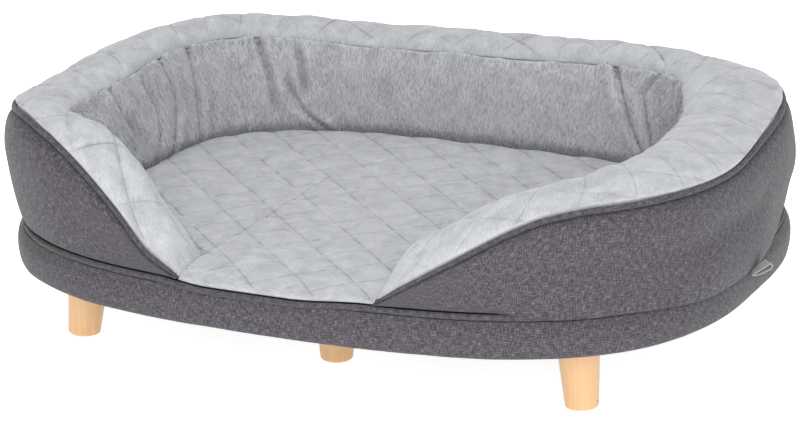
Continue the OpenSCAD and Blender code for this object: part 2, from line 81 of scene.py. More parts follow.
class Slot(Enum):
    """The record's material slots that the scene's own pieces use."""

    LINEN = "linen"
    PIPING = "piping"
    PLUSH = "plush"
    PLUSH_WALL = "plush_wall"
    LINING = "lining"
    DUST_COVER = "dust_cover"
    FOAM = "foam"
    RIBBON = "ribbon"
    ZINC_STEEL = "zinc_steel"


# Small helpers


def linear(code: str) -> tuple[float, float, float, float]:
    """Turns an sRGB hex colour into a linear one.

    Args:
        code: A colour such as "#8a888d".

    Returns:
        Linear red, green, blue and an alpha of 1.
    """
    parts = [int(code[i : i + 2], 16) / 255 for i in (1, 3, 5)]
    red, green, blue = (c / 12.92 if c <= 0.04045 else ((c + 0.055) / 1.055) ** 2.4 for c in parts)
    return red, green, blue, 1.0


def add_node(
    tree: NodeTree, kind: str, inputs: dict[Any, Any] | None = None, **settings: Any
) -> Node:
    """Adds a node, with its settings and what its inputs hold or are linked to.

    Args:
        tree: The tree that gets the node.
        kind: The node's type.
        inputs: Values or output sockets, by the input's name or number.
        **settings: Properties of the node itself.

    Returns:
        The new node.
    """
    node = tree.nodes.new(kind)
    for name, value in settings.items():
        setattr(node, name, value)
    for key, value in (inputs or {}).items():
        if isinstance(value, NodeSocket):
            tree.links.new(value, node.inputs[key])
        else:
            node.inputs[key].default_value = value
    return node


def combine(tree: NodeTree, operation: str, *values: Any) -> NodeSocket:
    """Adds a math node on sockets and numbers and returns its result."""
    return add_node(tree, "ShaderNodeMath", dict(enumerate(values)), operation=operation).outputs[0]


def vector_math(tree: NodeTree, operation: str, inputs: dict[Any, Any]) -> Node:
    """Adds a vector math node with these inputs."""
    return add_node(tree, "ShaderNodeVectorMath", inputs, operation=operation)


def spread(
    tree: NodeTree, value: NodeSocket, low: float, high: float,
    to_low: float = 0.0, to_high: float = 1.0,
) -> NodeSocket:
    """Maps one range of values to another, held at its ends.

    Args:
        tree: The tree that gets the node.
        value: The socket with the values.
        low: The value that becomes to_low.
        high: The value that becomes to_high.
        to_low: Start of the new range.
        to_high: End of the new range.

    Returns:
        The socket with the new values.
    """
    inputs = {0: value, 1: low, 2: high, 3: to_low, 4: to_high}
    return add_node(tree, "ShaderNodeMapRange", inputs).outputs[0]


def blend(tree: NodeTree, share: NodeSocket, low: Any, high: Any) -> NodeSocket:
    """Blends two colours.

    Args:
        tree: The tree that gets the node.
        share: The socket with the share of the second colour.
        low: The first colour, as a hex code or a socket.
        high: The second colour, as a hex code or a socket.

    Returns:
        The socket with the blended colour.
    """
    first, second = (linear(c) if isinstance(c, str) else c for c in (low, high))
    node = add_node(tree, "ShaderNodeMix", {0: share, 6: first, 7: second}, data_type="RGBA")
    return node.outputs[2]


def noise(tree: NodeTree, place: NodeSocket, scale: float, detail: float, **inputs: float) -> Node:
    """Adds a noise texture, with any other inputs by their names."""
    settings = {"Vector": place, "Scale": scale, "Detail": detail, **inputs}
    return add_node(tree, "ShaderNodeTexNoise", settings)


def bumped(tree: NodeTree, height: NodeSocket, strength: float, distance: float) -> NodeSocket:
    """Turns heights into a bumped normal, at a distance in millimetres."""
    settings = {"Height": height, "Strength": strength, "Distance": distance * MM}
    return add_node(tree, "ShaderNodeBump", settings).outputs[0]


def new_finish(name: str) -> tuple[Material, NodeTree]:
    """Makes a material with an empty tree.

    Args:
        name: The material's name.

    Returns:
        The material and its tree.
    """
    made = bpy.data.materials.new(name)
    made.use_nodes = True
    made.node_tree.nodes.clear()
    return made, made.node_tree


def shade(tree: NodeTree, inputs: dict[str, Any]) -> None:
    """Ends a material's tree with a shader that has these inputs."""
    shader = add_node(tree, "ShaderNodeBsdfPrincipled", inputs)
    add_node(tree, "ShaderNodeOutputMaterial", {"Surface": shader.outputs[0]})


def into_scene(item: Object) -> Object:
    """Links an object to the scene."""
    bpy.context.scene.collection.objects.link(item)
    return item


def smooth(value: np.ndarray | float) -> np.ndarray:
    """Eases 0..1 in and out."""
    held = np.clip(value, 0, 1)
    return held * held * (3 - 2 * held)


def mix(low: Any, high: Any, share: Any) -> Any:
    """Blends from low to high."""
    return low + (high - low) * share


def window(value: np.ndarray, start: float, rise: float, end: float, fall: float) -> np.ndarray:
    """Eases from 0 to 1 and back to 0.

    Args:
        value: Places along a line.
        start: Where the rise starts.
        rise: Length of the rise.
        end: Where the fall ends.
        fall: Length of the fall.

    Returns:
        One share for each place.
    """
    return smooth((value - start) / rise) * smooth((end - value) / fall)


def lumps(points: np.ndarray, size: float, seed: int, stretch: float) -> np.ndarray:
    """Smooth random lumps that stay the same each run.

    Args:
        points: Places, with their three coordinates last.
        size: How far apart the lumps lie, in the unit of the points.
        seed: Which set of lumps.
        stretch: What heights are multiplied by first. Over 1 flattens the lumps.

    Returns:
        One value from -1 to 1 for each point.
    """
    cell = points.reshape(-1, 3) * [1, 1, stretch] / size
    base = np.floor(cell).astype(np.int64)
    ease = smooth(cell - base)
    total = np.zeros(len(cell))
    for corner in range(8):
        offset = np.array([(corner >> k) & 1 for k in range(3)])
        x, y, z = (base + offset).T
        mixed = (x * 73856093) ^ (y * 19349663) ^ (z * 83492791) ^ (seed * 40503001)
        mixed = (mixed ^ (mixed >> 13)) * 1274126177
        value = ((mixed ^ (mixed >> 16)) & 0xFFFF) / 0x7FFF - 1
        total += value * np.prod(np.where(offset, ease, 1 - ease), axis=1)
    return total.reshape(points.shape[:-1])


def ripple(points: np.ndarray, layers: Layers) -> np.ndarray:
    """Sums layers of lumps at points whose three coordinates come last."""
    return sum(height * lumps(points, *rest) for height, *rest in layers)


def sections(pairs: Sequence[tuple[Any, Any]]) -> np.ndarray:
    """Stacks pairs of inset and height into one section for each ring.

    Args:
        pairs: Insets and heights along a section, each one number or one value for each ring.

    Returns:
        Sections, points and pairs.
    """
    columns = np.broadcast_arrays(*(value for pair in pairs for value in pair))
    return np.stack(columns, axis=1).reshape(-1, len(pairs), 2)


def through_knots(knots: np.ndarray, count: int) -> np.ndarray:
    """Runs a smooth curve through the knots of many sections at once.

    Args:
        knots: Sections, knots and [inset, height] pairs.
        count: How many points each section gets.

    Returns:
        Sections, points and pairs.
    """
    spots = np.linspace(0, knots.shape[1] - 1, count)
    first = np.minimum(spots.astype(int), knots.shape[1] - 2)
    t = (spots - first)[None, :, None]
    before = np.concatenate([2 * knots[:, :1] - knots[:, 1:2], knots[:, :-1]], axis=1)
    after = np.concatenate([knots[:, 1:], 2 * knots[:, -1:] - knots[:, -2:-1]], axis=1)
    a, b, c, d = before[:, first], knots[:, first], knots[:, first + 1], after[:, first + 1]
    return 0.5 * (
        2 * b + (c - a) * t + (2 * a - 5 * b + 4 * c - d) * t**2 + (3 * b - a - 3 * c + d) * t**3
    )


def ring_normals(rings: np.ndarray, closed_run: bool, closed_row: bool) -> np.ndarray:
    """Directions square to a swept surface, outward on the ways that this bed's skins run.

    Args:
        rings: Rings, points and coordinates.
        closed_run: Whether the last ring joins the first.
        closed_row: Whether a ring's last point joins its first.

    Returns:
        Unit vectors in the same shape.
    """
    if closed_run:
        along = np.roll(rings, -1, axis=0) - np.roll(rings, 1, axis=0)
    else:
        along = np.gradient(rings, axis=0)
    if closed_row:
        up = np.roll(rings, -1, axis=1) - np.roll(rings, 1, axis=1)
    else:
        up = np.gradient(rings, axis=1)
    square = np.cross(along, up)
    return square / np.maximum(np.linalg.norm(square, axis=2, keepdims=True), 1e-9)


def mesh_piece(
    name: str, points: np.ndarray, faces: Sequence[Sequence[int]], finish: Material
) -> Object:
    """Makes a smooth-shaded object from millimetre points.

    Args:
        name: Name of the piece.
        points: Rows of three coordinates in millimetres.
        faces: Point numbers of each face, anticlockwise from outside.
        finish: The material.

    Returns:
        The new object, linked to the scene.
    """
    mesh = bpy.data.meshes.new(name)
    mesh.from_pydata((np.asarray(points) * MM).tolist(), [], faces)
    mesh.validate()
    mesh.shade_smooth()
    mesh.materials.append(finish)
    return into_scene(bpy.data.objects.new(name, mesh))


def ring_quads(
    count: int, size: int, closed_run: bool
) -> tuple[np.ndarray, np.ndarray, list[list[int]]]:
    """Lists the faces between rings.

    Args:
        count: Number of rings.
        size: Number of points in a ring.
        closed_run: Whether the last ring joins the first.

    Returns:
        Ring and point number of each face's first corner, and the faces.
    """
    spans = count if closed_run else count - 1
    s, j = (part.ravel() for part in np.meshgrid(np.arange(spans), np.arange(size), indexing="ij"))
    nxt, up = (s + 1) % count, (j + 1) % size
    corners = [s * size + j, nxt * size + j, nxt * size + up, s * size + up]
    return s, j, np.stack(corners, axis=1).tolist()


def lay_cloth(mesh: Mesh, flat: np.ndarray) -> None:
    """Writes the cloth's UV map, one pair in metres for each corner."""
    layer = mesh.uv_layers.get("cloth") or mesh.uv_layers.new(name="cloth")
    layer.data.foreach_set("uv", flat.ravel())


def corner_points(mesh: Mesh) -> np.ndarray:
    """Reads which point each corner of a mesh is on.

    Args:
        mesh: The mesh.

    Returns:
        One point number for each corner.
    """
    corners = np.zeros(len(mesh.loops), dtype=np.int32)
    mesh.loops.foreach_get("vertex_index", corners)
    return corners


def swept_piece(name: str, rings: np.ndarray, finish: Material, closed_run: bool = False) -> Object:
    """Skins closed rings into a closed form, with a UV map in metres along and across it.

    Args:
        name: Name of the piece.
        rings: Rings, points and coordinates, in millimetres. A ring's second half runs back
            along the inside of its first half.
        finish: The material.
        closed_run: Whether the last ring joins the first, or both get caps.

    Returns:
        The new object.
    """
    count, size = rings.shape[:2]
    s, j, faces = ring_quads(count, size, closed_run)
    if not closed_run:
        base = (count - 1) * size
        for k in range(size // 2 - 1):
            low, high = size - 1 - k, size - 2 - k
            faces.append([low, k, k + 1, high])
            faces.append([base + k, base + low, base + high, base + k + 1])
    piece = mesh_piece(name, rings.reshape(-1, 3), faces, finish)
    middle = rings[:, : max(size // 2, 1)].mean(axis=1)
    steps = np.linalg.norm(np.roll(middle, -1, axis=0) - middle, axis=1)
    run = np.concatenate([[0], np.cumsum(steps)])
    lifts = np.linalg.norm(np.roll(rings, -1, axis=1) - rings, axis=2).mean(axis=0)
    across = np.concatenate([[0], np.cumsum(lifts)])
    corners = sections([(run[s + a], across[j + b]) for a, b in ((0, 0), (1, 0), (1, 1), (0, 1))])
    flat = np.zeros((len(piece.data.loops), 2))
    flat[: corners.size // 2] = corners.reshape(-1, 2) * MM
    lay_cloth(piece.data, flat)
    return piece


def hand_over(piece: Object, body: Body, stands_for: Sequence[str] = ()) -> Object:
    """Puts a finished piece on its body and reports it.

    Args:
        piece: The finished piece.
        body: The body that it rides on.
        stands_for: The CAD nodes that it replaces.

    Returns:
        The same piece.
    """
    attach(piece, body.value)
    if stands_for:
        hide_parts(*stands_for)
    LOG.info("%s: %d faces on %s", piece.name, len(piece.data.polygons), body.value)
    return piece


def mark_quilting(piece: Object, spots: np.ndarray) -> None:
    """Stores where each point lies among the quilting lines, for the plush to draw them with
    painted crease shade.

    Args:
        piece: The quilted piece.
        spots: For each point, its position in both families of lines, in line spacings, and how
        strongly the lines' painted crease shade shows there.
    """
    layer = piece.data.attributes.new("quilting", "FLOAT_VECTOR", "POINT")
    layer.data.foreach_set("vector", spots.ravel())


def plain_copy(holder: Object, name: str) -> Object:
    """Turns an evaluated object into a plain mesh of its own and removes the holder.

    Args:
        holder: The object with the live modifier or curve.
        name: Name of the plain piece.

    Returns:
        The plain piece.
    """
    graph = bpy.context.evaluated_depsgraph_get()
    mesh = bpy.data.meshes.new_from_object(holder.evaluated_get(graph))
    bpy.data.objects.remove(holder)
    mesh.name = name
    return into_scene(bpy.data.objects.new(name, mesh))


# Finishes


@dataclass(frozen=True)
class Linen:
    """Heathered polyester linen, plain woven. Dark and pale slubs cross at right angles.

    Real threads are about 0.6 mm apart; they are drawn coarser here so that they show.
    """

    name: str = "heathered linen"
    dark: str = "#3a373b"
    middle: str = "#484549"
    pale: str = "#6a676d"
    thread: float = 1.15
    slub: float = 7.5
    roughness: float = 0.92

    def material(self) -> Material:
        """Builds the node tree on the piece's own UV map.

        Returns:
            The material.
        """
        made, tree = new_finish(self.name)
        cloth = add_node(tree, "ShaderNodeUVMap", uv_map="cloth").outputs[0]
        fine, long = 1 / (self.thread * MM), 1 / (self.slub * MM)
        slubs = []
        for scale in ((fine, long, 1.0), (long, fine, 1.0)):
            spot = add_node(tree, "ShaderNodeMapping", {"Vector": cloth, "Scale": scale})
            slubs.append(noise(tree, spot.outputs[0], 1.0, 1.0, Roughness=0.5).outputs[0])
        crossed = combine(tree, "ADD", *slubs)
        patches = noise(tree, cloth, 90.0, 3.0).outputs[0]
        clouded = combine(tree, "MULTIPLY_ADD", patches, 0.25, crossed)
        body = blend(tree, spread(tree, clouded, 0.9, 1.15), self.dark, self.middle)
        shade(
            tree,
            {
                "Base Color": blend(tree, spread(tree, clouded, 1.1, 1.45), body, self.pale),
                "Roughness": self.roughness, "Specular IOR Level": 0.2, "Sheen Weight": 0.12,
                "Normal": bumped(tree, crossed, 0.35, 0.5),
            },
        )
        return made


@dataclass(frozen=True)
class Plush:
    """Polyester rabbit-fur plush. The nap lies in soft streaks, darker where it parts.

    Quilting lines show as thin broken gaps in the nap with painted crease shade, drawn from the
    piece's quilting attribute.
    """

    name: str = "short plush"
    roots: str = "#9b9da2"
    tips: str = "#bcbec2"
    strand: float = 1.6
    streak: float = 9.0
    clump: float = 26.0
    bump: float = 0.5
    sheen: float = 0.35
    # Colour and width of the quilting lines, where the nap opens, with painted crease shade
    parting_and_shade_colour: str = "#83858b"
    parting_and_shade_width: float = 0.036
    # Painted shade at the foot of an inner wall: the height it reaches, its colour, its fade and
    # its ragged edge
    shaded_below: float | None = None
    foot_shade: str = "#63656b"
    fade: float = 11.0
    rag: float = 20.0
    rag_size: float = 5.0

    def material(self) -> Material:
        """Builds the node tree on the piece's own UV map.

        Returns:
            The material.
        """
        made, tree = new_finish(self.name)
        cloth = add_node(tree, "ShaderNodeUVMap", uv_map="cloth").outputs[0]
        wander = noise(tree, cloth, 1 / (3 * self.clump * MM), 2.0)
        drift = {0: wander.outputs[1], 1: (self.clump * MM,) * 3, 2: cloth}
        swirl = vector_math(tree, "MULTIPLY_ADD", drift)
        streaks = (1 / (self.strand * MM), 1 / (self.streak * MM), 1.0)
        spot = add_node(tree, "ShaderNodeMapping", {"Vector": swirl.outputs[0], "Scale": streaks})
        nap = noise(tree, spot.outputs[0], 1.0, 3.0, Roughness=0.6).outputs[0]
        clumps = noise(tree, cloth, 1 / (self.clump * MM), 3.0, Distortion=0.6).outputs[0]
        laid = combine(tree, "MULTIPLY_ADD", clumps, 0.45, combine(tree, "MULTIPLY", nap, 0.55))
        parted_and_shaded = self.parting_and_shade(tree, clumps)
        colour = blend(tree, spread(tree, laid, 0.34, 0.62), self.roots, self.tips)
        # The quilting lines: darker roots where the nap opens, and painted shade in the creases
        colour = blend(tree, parted_and_shaded, colour, self.parting_and_shade_colour)
        # Painted shade in the crease where the wall meets the seat
        if self.shaded_below is not None:
            colour = self.paint_foot_shade(tree, colour)
        sunk = combine(tree, "MULTIPLY_ADD", parted_and_shaded, -0.8, laid)
        shade(
            tree,
            {
                "Base Color": colour, "Roughness": 0.95, "Specular IOR Level": 0.15,
                "Sheen Weight": self.sheen, "Sheen Roughness": 0.45,
                "Normal": bumped(tree, sunk, self.bump, 2.5),
            },
        )
        return made

    def parting_and_shade(self, tree: NodeTree, clumps: NodeSocket) -> NodeSocket:
        """How far the nap opens along the piece's quilting lines, with painted shade in their
        creases.

        Args:
            tree: The tree that gets the nodes.
            clumps: The nap's clumps, which break the lines up.

        Returns:
            The socket with the share of the nap's opening and of painted crease shade.
        """
        quilting = add_node(tree, "ShaderNodeAttribute", attribute_name="quilting")
        place = add_node(tree, "ShaderNodeSeparateXYZ", {0: quilting.outputs["Vector"]}).outputs
        gaps = (combine(tree, "PINGPONG", place[k], 0.5) for k in (0, 1))
        nearest = combine(tree, "MINIMUM", *gaps)
        line = spread(tree, nearest, self.parting_and_shade_width, 0.006)
        drawn = combine(tree, "MULTIPLY", line, spread(tree, clumps, 0.38, 0.6, 1.0, 0.25))
        return combine(tree, "MULTIPLY", drawn, place[2])

    def paint_foot_shade(self, tree: NodeTree, colour: NodeSocket) -> NodeSocket:
        """Paints shade onto the pile in the crease where the wall meets the seat, with a ragged
        edge.

        Args:
            tree: The tree that gets the nodes.
            colour: The socket with the pile's colour.

        Returns:
            The socket with the shaded colour.
        """
        place = add_node(tree, "ShaderNodeTexCoord").outputs["Object"]
        height = add_node(tree, "ShaderNodeSeparateXYZ", {0: place}).outputs[2]
        ragged = noise(tree, place, 1 / (self.rag_size * MM), 3.0).outputs[0]
        uneven = combine(tree, "MULTIPLY_ADD", ragged, -self.rag * MM, height)
        top = (self.shaded_below - self.rag / 2) * MM
        share = spread(tree, uneven, top, top - self.fade * MM, 0.0, 0.5)
        return blend(tree, share, colour, self.foot_shade)


@dataclass(frozen=True)
class Timber:
    """Turned and clear-lacquered pine, or the edge of a plywood board."""

    name: str = "lacquered pine"
    early: str = "#d8b284"
    late: str = "#cfa270"
    heart: str = "#d9ad80"
    ring: float = 3.2
    length: float = 85.0
    upright: bool = True
    roughness: float = 0.42
    knot: tuple[float, float, float] | None = None
    knot_radius: float = 2.2
    knot_colour: str = "#6b3f22"

    def material(self) -> Material:
        """Builds the node tree on Object coordinates, with the grain along the piece.

        Returns:
            The material.
        """
        made, tree = new_finish(self.name)
        place = add_node(tree, "ShaderNodeTexCoord").outputs["Object"]
        across, along = 1 / (self.ring * MM), 1 / (self.length * MM)
        scale = (across, across, along) if self.upright else (along, across, across)
        spot = add_node(tree, "ShaderNodeMapping", {"Vector": place, "Scale": scale}).outputs[0]
        rings = noise(tree, spot, 0.55, 4.0, Distortion=0.5).outputs[0]
        pores = noise(tree, spot, 3.5, 2.0, Roughness=0.7).outputs[0]
        broad = noise(tree, place, 22.0, 1.0).outputs[0]
        grain = blend(tree, spread(tree, rings, 0.42, 0.62), self.early, self.late)
        colour = blend(tree, broad, grain, self.heart)
        if self.knot is not None:
            centre = tuple(c * MM for c in self.knot)
            away = vector_math(tree, "DISTANCE", {0: place, 1: centre})
            radius = self.knot_radius * MM
            inside = spread(tree, away.outputs[1], radius, 0.5 * radius, 0.0, 0.9)
            colour = blend(tree, inside, colour, self.knot_colour)
        worn = spread(tree, pores, 0.3, 0.7, self.roughness - 0.06, self.roughness + 0.1)
        shade(
            tree,
            {
                "Base Color": colour, "Roughness": worn, "Coat Weight": 0.15,
                "Normal": bumped(tree, pores, 0.12, 0.3),
            },
        )
        return made


@dataclass(frozen=True)
class Plain:
    """A plain material with a fine mottle: zinc plate, non-woven, foam, lining or ribbon."""

    name: str
    base: str
    other: str
    speck: float
    roughness: float
    metallic: float = 0.0
    bump: float = 0.2
    sheen: float = 0.0

    def material(self) -> Material:
        """Builds the node tree on Object coordinates.

        Returns:
            The material.
        """
        made, tree = new_finish(self.name)
        place = add_node(tree, "ShaderNodeTexCoord").outputs["Object"]
        mottle = noise(tree, place, 1 / (self.speck * MM), 3.0, Roughness=0.6).outputs[0]
        shade(
            tree,
            {
                "Base Color": blend(tree, spread(tree, mottle, 0.35, 0.65), self.base, self.other),
                "Roughness": self.roughness, "Metallic": self.metallic,
                "Sheen Weight": self.sheen, "Normal": bumped(tree, mottle, self.bump, 0.3),
            },
        )
        return made


def built(finish: Any) -> Any:
    """A field that builds the material of a finish."""
    return field(default_factory=finish.material)


@dataclass
class Finishes:
    """Every material of the bed, made once."""

    # Dark heathered cloth with a dry, matt weave
    linen: Material = built(Linen())
    # Pale grey nap with soft streaks and a faint bloom at its edges
    plush: Material = built(Plush())
    # The same nap, longer and more combed, painted lighter than the crown's to lift the shade
    # inside the bed, with painted shade where it meets the seat
    long_plush: Material = built(
        Plush(
            # Its colours are painted lighter than the crown's plush: painted light that lifts the
            # shade inside the bed
            name="long plush", roots="#a5a6ac", tips="#c0c1c6", strand=1.3, streak=10.0,
            sheen=0.4, shaded_below=160.0,
        )
    )
    # Warm honey wood with long fine grain, one small knot and a low gloss
    pine: Material = built(Timber(knot=(359.5, -236.5, 9.0)))
    # Dull sanded board
    plywood: Material = built(
        Timber(
            name="birch plywood", early="#dcc29a", late="#c9a877", heart="#d2b387",
            ring=6.0, length=300.0, upright=False, roughness=0.7,
        )
    )
    # Bright grey metal with softened highlights
    zinc: Material = built(
        Plain("zinc plated steel", "#b9bcc0", "#a2a5aa", 6.0, 0.38, metallic=1.0, bump=0.05)
    )
    # Smooth dark grey lining cloth
    lining: Material = built(Plain("polyester lining", "#4c4b50", "#414045", 1.5, 0.85))
    # Black felted sheet with a rough dimpled face
    non_woven: Material = built(
        Plain("black non-woven", "#1b1b1d", "#2a2a2d", 2.0, 0.9, bump=0.5)
    )
    # Cream open-cell foam, quite matt
    foam: Material = built(Plain("seat foam", "#e6dcb4", "#dacd9d", 1.5, 0.95, bump=0.6))
    # Pale grey tape with a slight gloss
    ribbon: Material = built(
        Plain("satin ribbon", "#b9b7ba", "#a9a7aa", 1.2, 0.5, bump=0.15, sheen=0.15)
    )
    # Fine thread, a shade darker than the plush
    thread: Material = built(Plain("grey sewing thread", "#96989e", "#85878d", 0.6, 0.7))


# The outline that all pieces follow


@dataclass
class Outline:
    """The platform's superellipse, walked by its length from the middle of the front."""

    length: float = 944.0
    depth: float = 750.0
    power: float = 2.84
    samples: int = 14400
    places: np.ndarray = field(init=False)
    normals: np.ndarray = field(init=False)
    runs: np.ndarray = field(init=False)

    def __post_init__(self) -> None:
        """Tabulates the outline."""
        angle = np.radians(np.linspace(-90, 270, self.samples + 1))
        cos, sin = np.cos(angle), np.sin(angle)
        near, far = 2 / self.power, 2 - 2 / self.power
        sides = ((self.length, cos), (self.depth, sin))
        self.places = np.stack([w / 2 * np.sign(c) * np.abs(c) ** near for w, c in sides], 1)
        normals = np.stack([np.sign(c) * np.abs(c) ** far / w for w, c in sides], 1)
        self.normals = normals / np.linalg.norm(normals, axis=1, keepdims=True)
        steps = np.linalg.norm(np.diff(self.places, axis=0), axis=1)
        self.runs = np.concatenate([[0], np.cumsum(steps)])

    @property
    def total(self) -> float:
        """Length round the whole outline."""
        return float(self.runs[-1])

    def even(self, count: int) -> np.ndarray:
        """Evenly spaced lengths round the whole outline."""
        return np.arange(count) * self.total / count

    def run_at(self, x: float) -> float:
        """Length from the middle of the front to where the outline reaches x."""
        quarter = self.samples // 4
        return float(np.interp(x, self.places[:quarter, 0], self.runs[:quarter]))

    def look_up(self, run: np.ndarray) -> tuple[np.ndarray, np.ndarray]:
        """Finds places and outward directions.

        Args:
            run: Lengths along the outline.

        Returns:
            Places and unit outward directions, as rows of x and y.
        """
        wrapped = np.mod(run, self.total)
        place = np.stack([np.interp(wrapped, self.runs, self.places[:, k]) for k in (0, 1)], 1)
        normal = np.stack([np.interp(wrapped, self.runs, self.normals[:, k]) for k in (0, 1)], 1)
        return place, normal / np.linalg.norm(normal, axis=1, keepdims=True)

    def stand(self, run: np.ndarray, rows: np.ndarray) -> np.ndarray:
        """Stands sections of [inset, height] rows square to the outline.

        Args:
            run: One length for each section.
            rows: Sections, points and [inset, height].

        Returns:
            Rings of x, y and z.
        """
        place, normal = self.look_up(run)
        return self.stand_turned(place, normal, rows)

    @staticmethod
    def stand_turned(place: np.ndarray, outward: np.ndarray, rows: np.ndarray) -> np.ndarray:
        """Stands sections up with directions of their own, as stand does."""
        flat = place[:, None, :] - rows[:, :, :1] * outward[:, None, :]
        return np.concatenate([flat, rows[:, :, 1:]], axis=2)


# Geometry Nodes trees


@dataclass
class Scatter:
    """A tree that puts a small form on many points of what it is given."""

    name: str
    form: Object
    finish: Material
    tree: NodeTree = field(init=False)
    entry: Node = field(init=False)

    def start(self, *numbers: str) -> list[str]:
        """Starts the tree with a geometry, and a number under each of the names.

        Args:
            *numbers: Names of the numbers that the tree takes.

        Returns:
            What a modifier calls each number.
        """
        self.tree = bpy.data.node_groups.new(self.name, "GeometryNodeTree")
        sockets = self.tree.interface
        sockets.new_socket(name="Base", in_out="INPUT", socket_type="NodeSocketGeometry")
        taken = [
            sockets.new_socket(name=name, in_out="INPUT", socket_type="NodeSocketFloat")
            for name in numbers
        ]
        sockets.new_socket(name="Made", in_out="OUTPUT", socket_type="NodeSocketGeometry")
        self.entry = add_node(self.tree, "NodeGroupInput")
        return [socket.identifier for socket in taken]

    def end(self, spots: NodeSocket, turn: NodeSocket, scale: Any) -> None:
        """Ends the tree with a turned and scaled form on each point, in the finish.

        Args:
            spots: The socket with the points.
            turn: The socket with the rotations.
            scale: One scale, or the socket with the scales.
        """
        form = add_node(self.tree, "GeometryNodeObjectInfo", {0: self.form})
        inputs = {"Points": spots, "Instance": form.outputs["Geometry"], "Rotation": turn}
        placed = add_node(self.tree, "GeometryNodeInstanceOnPoints", {**inputs, "Scale": scale})
        real = add_node(self.tree, "GeometryNodeRealizeInstances", {0: placed.outputs[0]})
        dressed = add_node(
            self.tree, "GeometryNodeSetMaterial", {0: real.outputs[0], "Material": self.finish}
        )
        add_node(self.tree, "NodeGroupOutput", {0: dressed.outputs[0]})

    def make(self, base: Mesh, piece: str, numbers: dict[str, float]) -> Object:
        """Runs the tree on a mesh and returns what it makes as one plain mesh.

        Args:
            base: The mesh that the tree is given.
            piece: Name of the piece.
            numbers: The numbers, by what a modifier calls them.

        Returns:
            The plain piece.
        """
        holder = into_scene(bpy.data.objects.new(piece + "_base", base))
        modifier = holder.modifiers.new(self.name, "NODES")
        modifier.node_group = self.tree
        for name, number in numbers.items():
            modifier[name] = number
        made = plain_copy(holder, piece)
        made.data.shade_smooth()
        return made


@dataclass
class StitchRow(Scatter):
    """A tree that lays one small form after another along edges."""

    def run(self, paths: Sequence[np.ndarray], spacing: float, piece: str) -> Object:
        """Lays the forms along polylines.

        Args:
            paths: Polylines of points in millimetres.
            spacing: Distance from form to form in millimetres.
            piece: Name of the piece.

        Returns:
            The plain piece.
        """
        edges: list[tuple[int, int]] = []
        start = 0
        for path in paths:
            edges += [(start + k, start + k + 1) for k in range(len(path) - 1)]
            start += len(path)
        mesh = bpy.data.meshes.new(piece)
        mesh.from_pydata((np.concatenate(paths) * MM).tolist(), edges, [])
        (gap,) = self.start("Spacing")
        curve = add_node(self.tree, "GeometryNodeMeshToCurve", {0: self.entry.outputs["Base"]})
        spots = add_node(
            self.tree, "GeometryNodeCurveToPoints",
            {"Curve": curve.outputs[0], "Length": self.entry.outputs["Spacing"]}, mode="LENGTH",
        ).outputs
        self.end(spots[0], spots["Rotation"], (1.0, 1.0, 1.0))
        return self.make(mesh, piece, {gap: spacing * MM})


@dataclass
class Pile(Scatter):
    """A tree that scatters tapered tufts over a skin, laid down along a set direction."""

    seed: int = 11
    stray: float = 0.35
    shortest: float = 0.65
    longest: float = 1.25

    def grow(self, skin: Object, density: float, lay: float, piece: str) -> Object:
        """Grows the pile: points on faces, turned off the normal, a tuft on each point.

        Args:
            skin: The mesh that the pile grows on, with a vertex group named pile.
            density: Tufts in a square metre.
            lay: How far the tufts lie down, in radians from upright.
            piece: Name of the piece.

        Returns:
            The plain piece.
        """
        dense, lie = self.start("Density", "Lay")
        tree, given = self.tree, self.entry.outputs
        furred = add_node(tree, "GeometryNodeInputNamedAttribute", {0: "pile"}, data_type="FLOAT")
        thinned = combine(tree, "MULTIPLY", furred.outputs[0], given["Density"])
        spots = add_node(
            tree, "GeometryNodeDistributePointsOnFaces",
            {"Mesh": given["Base"], "Density": thinned, "Seed": self.seed},
        ).outputs
        straying = {0: (-self.stray,) * 3, 1: (self.stray,) * 3, "Seed": self.seed + 1}
        stray = add_node(tree, "FunctionNodeRandomValue", straying, data_type="FLOAT_VECTOR")
        sizes = {2: self.shortest, 3: self.longest, "Seed": self.seed + 2}
        length = add_node(tree, "FunctionNodeRandomValue", sizes, data_type="FLOAT")
        # The lay: normal * cos + downhill * sin, with a little scatter
        normal = spots["Normal"]
        cosine, sine = (combine(tree, way, given["Lay"]) for way in ("COSINE", "SINE"))
        level = vector_math(tree, "CROSS_PRODUCT", {0: normal, 1: (0.0, 0.0, -1.0)}).outputs[0]
        downhill = vector_math(tree, "CROSS_PRODUCT", {0: level, 1: normal}).outputs[0]
        upright = vector_math(tree, "SCALE", {0: normal, "Scale": cosine}).outputs[0]
        flat = vector_math(tree, "SCALE", {0: downhill, "Scale": sine}).outputs[0]
        laid = vector_math(tree, "ADD", {0: upright, 1: flat}).outputs[0]
        strayed = vector_math(tree, "ADD", {0: laid, 1: stray.outputs[0]}).outputs[0]
        turn = add_node(tree, "FunctionNodeAlignRotationToVector", {"Vector": strayed}, axis="Z")
        self.end(spots[0], turn.outputs[0], length.outputs[1])
        return self.make(skin.data, piece, {dense: density, lie: lay})


def quilting_thread(tree: str, piece: str, paths: Sequence[np.ndarray], finish: Material) -> Object:
    """Sews quilting lines.

    Args:
        tree: Name of the tree.
        piece: Name of the piece.
        paths: Polylines of points in millimetres.
        finish: The thread's material.

    Returns:
        The stitches as one plain mesh.
    """
    form = stitch("stitch", length=3.4, radius=0.35)
    return StitchRow(tree, form, finish).run(paths, STITCH_GAP, piece)


def small_form(
    name: str, points: Sequence[Sequence[float]], faces: Sequence[Sequence[int]]
) -> Object:
    """Makes a small form to scatter or to lay in rows.

    Args:
        name: Name of the form.
        points: Its points in millimetres.
        faces: Point numbers of each face, anticlockwise from outside.

    Returns:
        The form, not linked to the scene.
    """
    mesh = bpy.data.meshes.new(name)
    mesh.from_pydata((np.array(points) * MM).tolist(), [], faces)
    mesh.shade_smooth()
    return bpy.data.objects.new(name, mesh)


